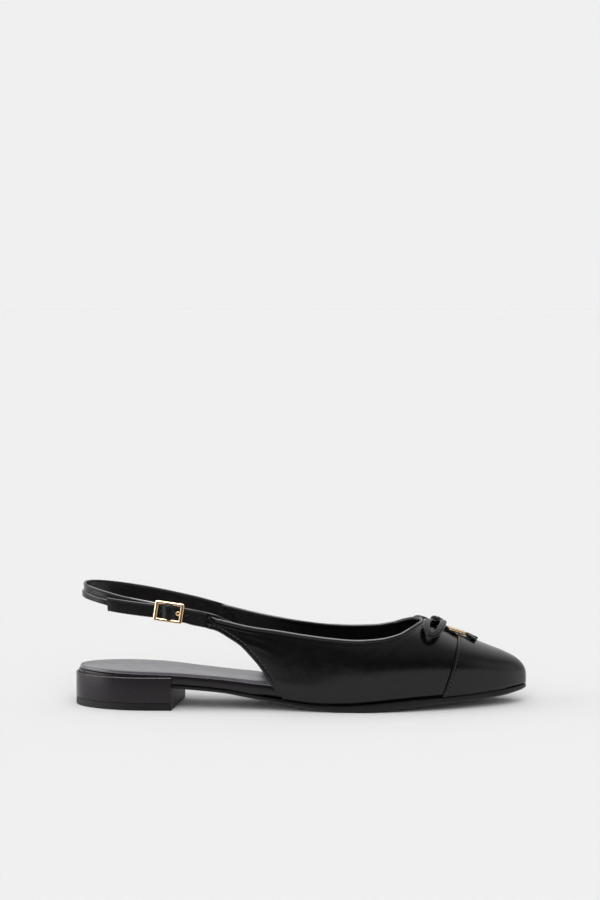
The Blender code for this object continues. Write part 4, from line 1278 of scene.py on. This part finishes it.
def makeKnot():
    b = bowForm
    ahead, sideways, normal = knotFrame(b["knotX"])
    rise = b["knotHalf"][2] + lastForm["gap"] - b["knotDrop"]
    middle = overVamp(b["knotX"], b["knotY"] - b["knotOut"], rise)
    columns, rows = b["knotSteps"]
    points = []
    for longitude in np.linspace(0, 2 * pi, columns):
        for latitude in np.linspace(-pi / 2, pi / 2, rows):
            bulge = 1.0
            for wrap in (b["wrapAt"], -b["wrapAt"]):
                bulge -= b["wrapDepth"] * np.exp(-((sin(latitude) - wrap) / b["wrapWidth"]) ** 2)
            flat = cos(latitude) ** b["knotPower"] if abs(latitude) < pi / 2 - 1e-6 else 0.0
            local = np.array((sin(latitude), flat * cos(longitude) * bulge, flat * sin(longitude) * bulge))
            local *= b["knotHalf"]
            points.append(middle + local[0] * ahead + local[1] * sideways + local[2] * normal)
    piece = makeObject("bow_knot_calf", points, gridFaces(columns, rows), [calf], sharp=70)
    finishPiece(piece, "calf", "bow_knot")


def makeTail(side):
    b = bowForm
    firstX = b["knotX"] + b["knotHalf"][0] - b["tailTuck"]
    endX = b["tailEndX"][side]
    sleeveStart, sleeveEnd = b["sleeveX"] - b["sleeve"][0] / 2, b["sleeveX"] + b["sleeve"][0] / 2
    onCap = capForm["offset"] + capForm["thickness"] + b["tailThickness"] * (1 + b["tailSwell"]) / 2
    tip = np.array(b["tailTip"])
    places = np.concatenate((np.linspace(firstX, endX - tip[0], b["tailSteps"]), endX - tip[1:]))
    path, up = [], []
    for x in places:
        loose = ramp(x, sleeveEnd, endX)
        rise = laceRise(x) + (onCap - laceRise(x)) * loose
        apart = b["tailWidth"] / 2 + b["tailApart"] + b["tailSplay"][side] * loose
        y = b["knotY"] + sideSign[side] * apart
        path.append(overVamp(x, y, rise))
        up.append(vampNormal(x, y))
    path, up = np.array(path), np.array(up)
    tangent = unit(np.gradient(path, axis=0))
    across = unit(np.cross(tangent, up))
    up = np.cross(across, tangent)
    loop = roundedRect(b["tailThickness"] / 2, b["tailWidth"] / 2, b["tailEdge"], side=10)[:, ::-1]
    inside = ramp(places, sleeveStart - b["press"], sleeveStart)
    inside *= 1 - ramp(places, sleeveEnd, sleeveEnd + b["press"])
    ends = np.ones(len(places))
    ends[-len(b["tailTipShare"]):] = b["tailTipShare"]
    scale = np.column_stack((ends, ends * (1 + b["tailSwell"] * (1 - inside))))
    tail = sweep(path, across, up, loop[None] * scale[:, None])
    piece = makeObject("bow_tail_calf_" + side, *tail, [calf], sharp=60)
    finishPiece(piece, "calf", "bow_tail_" + side)


def makePad():  # leather pad that fills the space under the laces and the sleeve
    p, y = padForm, bowForm["knotY"]
    places = np.linspace(*p["x"], p["steps"])
    fall = 1 - p["fallShare"] * ramp(places, *p["fall"])
    top = p["least"] + p["full"] * ramp(places, *p["climb"]) * fall
    path = np.array([overVamp(x, y, p["seat"] + height / 2) for x, height in zip(places, top)])
    up = np.array([vampNormal(x, y) for x in places])
    across = np.cross(unit(np.gradient(path, axis=0)), up)
    loop = roundedRect(*p["half"], p["edge"], side=8)
    scale = np.column_stack((np.ones(len(top)), top))
    pad = sweep(path, across, up, loop[None] * scale[:, None])
    finishPiece(makeObject("bow_pad_calf", *pad, [calf], sharp=60), "calf")


def makeSleeve():
    b = bowForm
    ahead, sideways, normal = knotFrame(b["sleeveX"])
    climb = atan((laceRise(b["sleeveX"] + 1) - laceRise(b["sleeveX"] - 1)) / 2)
    ahead, normal = ahead * cos(climb) + normal * sin(climb), normal * cos(climb) - ahead * sin(climb)
    middle = overVamp(b["sleeveX"], b["knotY"], laceRise(b["sleeveX"]))
    length, width, height = b["sleeve"]
    wall, edge, end = b["sleeveWall"], b["sleeveEdge"], length / 2
    # The wall's section, round both ends: how far in from the outside, and where along the sleeve
    section = ((0.0, edge - end), (0.0, end - edge), (edge, end), (wall - edge, end),
               (wall, end - edge), (wall, edge - end), (wall - edge, -end), (edge, -end))
    points = []
    for out, at in section:
        loop = roundedRect(width / 2 - out, height / 2 - out, b["sleeveCorner"] - out, side=4)
        points += [middle + at * ahead + u * sideways + v * normal for u, v in loop]
    faces = ringFaces(len(section), len(points) // len(section))
    piece = makeObject("bow_sleeve_gold", points, faces, [gold], sharp=30)
    finishPiece(piece, "gold", "bow_sleeve", rolled=True)


for side in sideNames:
    makeLoop(side)
    makeTail(side)
makeKnot()
makePad()
makeSleeve()
print("bow made")


# Stitches: a Geometry Nodes tree lays one short stitch at each step along a seam
stitchForm = {
    "spacing": 2.4, "length": 1.6, "radius": 0.24, "lift": 0.02, "segments": 8, "rings": 6,
    "rearSteps": 140, "rearMargin": (1.0, 0.8), "lowest": 5.5, "tailInset": 1.2, "tailMargin": 1.6,
    "tailSteps": 12,
}


def stitchTree():
    tree = bpy.data.node_groups.new("seam stitches", "GeometryNodeTree")
    tree.interface.new_socket("Geometry", in_out="INPUT", socket_type="NodeSocketGeometry")
    sizes = {}
    for name in ("Spacing", "Length", "Radius"):
        socket = tree.interface.new_socket(name, in_out="INPUT", socket_type="NodeSocketFloat")
        sizes[name] = socket.identifier
    tree.interface.new_socket("Geometry", in_out="OUTPUT", socket_type="NodeSocketGeometry")
    given = addNode(tree, "NodeGroupInput")
    steps = addNode(tree, "GeometryNodeCurveToPoints", {
        "Curve": given.outputs["Geometry"], "Length": given.outputs["Spacing"]}, mode="LENGTH")
    stitch = addNode(tree, "GeometryNodeMeshUVSphere", {
        "Segments": stitchForm["segments"], "Rings": stitchForm["rings"], "Radius": 1.0})
    half = addNode(tree, "ShaderNodeMath", {0: given.outputs["Length"], 1: 0.5}, operation="MULTIPLY")
    size = addNode(tree, "ShaderNodeCombineXYZ", {
        "X": given.outputs["Radius"], "Y": given.outputs["Radius"], "Z": half.outputs["Value"]})
    laid = addNode(tree, "GeometryNodeInstanceOnPoints", {
        "Points": steps.outputs["Points"], "Instance": stitch.outputs["Mesh"],
        "Rotation": steps.outputs["Rotation"], "Scale": size.outputs["Vector"]})
    real = addNode(tree, "GeometryNodeRealizeInstances", {"Geometry": laid.outputs["Instances"]})
    finish = addNode(tree, "GeometryNodeSetMaterial", {
        "Geometry": real.outputs["Geometry"], "Material": thread})
    addNode(tree, "NodeGroupOutput", {"Geometry": finish.outputs["Geometry"]})
    return tree, sizes


def seamCurve(name, points):
    data = bpy.data.curves.new(name, "CURVE")
    data.dimensions = "3D"
    spline = data.splines.new("POLY")
    spline.points.add(len(points) - 1)
    for knot, point in zip(spline.points, (np.asarray(points) + shoeOrigin) * mm):
        knot.co = (*point, 1.0)
    return addObject(name, data)


def stitchSeam(name, points, tree, sizes):
    curve = seamCurve(name + "_line", points)
    change = curve.modifiers.new("stitches", "NODES")
    change.node_group = tree
    for key, socket in sizes.items():
        change[socket] = stitchForm[key.lower()] * mm
    depsgraph = bpy.context.evaluated_depsgraph_get()
    data = bpy.data.meshes.new_from_object(curve.evaluated_get(depsgraph))
    data.shade_smooth()
    bpy.data.objects.remove(curve)
    finishPiece(addObject(name, data), "calf")


def rearSeam(side):  # parallel to the quarter's rear edge, up to the tail
    rear, fore = stitchForm["rearMargin"]
    x = np.linspace(upperForm["tailX"] + rear, upperForm["quarterFootX"] - fore, stitchForm["rearSteps"])
    edge = np.column_stack((x, readTable(rearEdgeTable, "z", x)))
    tangent = unit(np.gradient(edge, axis=0))
    inside = edge + upperForm["grooveInset"] * np.column_stack((-tangent[:, 1], tangent[:, 0]))
    sunk = upperForm["grooveDepth"] - stitchForm["lift"]
    return [(px, lastY(px, side, pz) - sideSign[side] * sunk, pz)
            for px, pz in inside if pz > stitchForm["lowest"]]


def tailSeam(side):  # upright row where the strap is sewn into the quarter's tail
    x = upperForm["tailX"] + stitchForm["tailInset"]
    low = readTable(rearEdgeTable, "z", x) + stitchForm["tailMargin"]
    high = readTable(topEdgeTable, side, x) - stitchForm["tailMargin"] / 2
    return [(x, lastY(x, side, z) + sideSign[side] * stitchForm["lift"], z)
            for z in np.linspace(low, high, stitchForm["tailSteps"])]


stitches, stitchSizes = stitchTree()
for side in sideNames:
    stitchSeam("quarter_stitches_" + side, rearSeam(side), stitches, stitchSizes)
    stitchSeam("tail_stitches_" + side, tailSeam(side), stitches, stitchSizes)
stitchSeam("cap_stitches", capSeam, stitches, stitchSizes)
print("stitches laid")


# Floor and light
stageForm = {
    "floorHalf": 30.0, "floorDrop": 0.05, "floorColour": "#cccccc", "floorRough": 0.9,
    "backdrop": "#f0f0f0", "front": 0.09, "back": 0.88, "turnY": (-0.15, 0.75), "stripRadiance": 6.0,
    "stripSize": (1.1, 1.7), "stripPlace": (-0.25, 0.15, 1.0),
}
# Soft lights that only the floor takes: name, strength, width and turns about x and y in degrees
floorLights = (
    ("floor_wash", 1.0, 80.0, 10.0, 6.0),  # from above
    ("floor_fill", 3.2, 60.0, 60.0, 0.0),  # from the front, into the shade under the arch
)
# Soft boxes round the shoe: direction, half angle of the full part and of the fading edge, strength
softBoxes = (
    ((-0.97, -0.1, 0.2), 12, 34, 4.0),  # at the heel
    ((0.97, -0.15, 0.2), 10, 30, 0.8),  # at the toe
    ((0.0, 0.0, 1.0), 20, 75, 0.4),  # the room above
)


def makeFloor():
    data = bpy.data.meshes.new("floor")
    half, drop = stageForm["floorHalf"], -stageForm["floorDrop"] * mm
    corners = [(-half, -half, drop), (half, -half, drop), (half, half, drop), (-half, half, drop)]
    data.from_pydata(corners, [], [(0, 1, 2, 3)])
    paper = bpy.data.materials.new("white paper floor")
    paper.use_nodes = True
    feed(paper.node_tree, paper.node_tree.nodes["Principled BSDF"], {
        "Base Color": linear(stageForm["floorColour"]), "Roughness": stageForm["floorRough"],
        "Specular IOR Level": 0.0})
    data.materials.append(paper)
    floor = addObject("floor", data)
    return floor


def makeWorld():
    # A pale studio: bright behind the shoe and dark in front of it, with soft boxes
    world = bpy.data.worlds.new("studio")
    scene.world = world
    world.use_nodes = True
    tree = world.node_tree
    tree.nodes.clear()
    toward = addNode(tree, "ShaderNodeTexCoord").outputs["Generated"]
    axis = addNode(tree, "ShaderNodeSeparateXYZ", {"Vector": toward})
    room = addNode(tree, "ShaderNodeMapRange", {
        "Value": axis.outputs["Y"], "From Min": stageForm["turnY"][0], "From Max": stageForm["turnY"][1],
        "To Min": stageForm["front"], "To Max": stageForm["back"]}, interpolation_type="SMOOTHSTEP")
    total = room.outputs["Result"]
    for direction, inner, outer, strength in softBoxes:
        facing = addNode(tree, "ShaderNodeVectorMath", {
            0: toward, 1: Vector(direction).normalized()}, operation="DOT_PRODUCT")
        box = addNode(tree, "ShaderNodeMapRange", {
            "Value": facing.outputs["Value"], "From Min": cos(radians(outer)),
            "From Max": cos(radians(inner)), "To Min": 0.0, "To Max": strength},
            interpolation_type="SMOOTHSTEP")
        both = addNode(tree, "ShaderNodeMath", {0: total, 1: box.outputs["Result"]}, operation="ADD")
        total = both.outputs["Value"]
    seen = addNode(tree, "ShaderNodeLightPath")
    shine = addNode(tree, "ShaderNodeBackground", {"Strength": total})
    paper = addNode(tree, "ShaderNodeBackground", {"Color": linear(stageForm["backdrop"])})
    pick = addNode(tree, "ShaderNodeMixShader", {
        0: seen.outputs["Is Camera Ray"], 1: shine.outputs["Background"], 2: paper.outputs["Background"]})
    addNode(tree, "ShaderNodeOutputWorld", {"Surface": pick.outputs["Shader"]})


def lightFloor(floor):
    # Broad soft light for the floor alone, so the leather keeps its dark side
    lit = bpy.data.collections.new("lit_floor")
    lit.objects.link(floor)
    for name, strength, width, turnX, turnY in floorLights:
        data = bpy.data.lights.new(name, "SUN")
        data.energy = strength
        data.angle = radians(width)
        light = addObject(name, data)
        light.rotation_euler = (radians(turnX), radians(turnY), 0)
        light.light_linking.receiver_collection = lit


def makeStrip():
    # A ceiling strip that only the rolled edges take, for their fine bright lines
    data = bpy.data.lights.new("edge_strip", "AREA")
    data.shape = "RECTANGLE"
    data.size, data.size_y = stageForm["stripSize"]
    data.energy = stageForm["stripRadiance"] * pi * data.size * data.size_y
    light = addObject("edge_strip", data)
    light.location = stageForm["stripPlace"]
    lit = bpy.data.collections.new("lit_edges")
    for piece in rolledPieces:
        lit.objects.link(piece)
    light.light_linking.receiver_collection = lit


scene.view_settings.view_transform = "Standard"
makeWorld()
lightFloor(makeFloor())
makeStrip()
print("stage set")
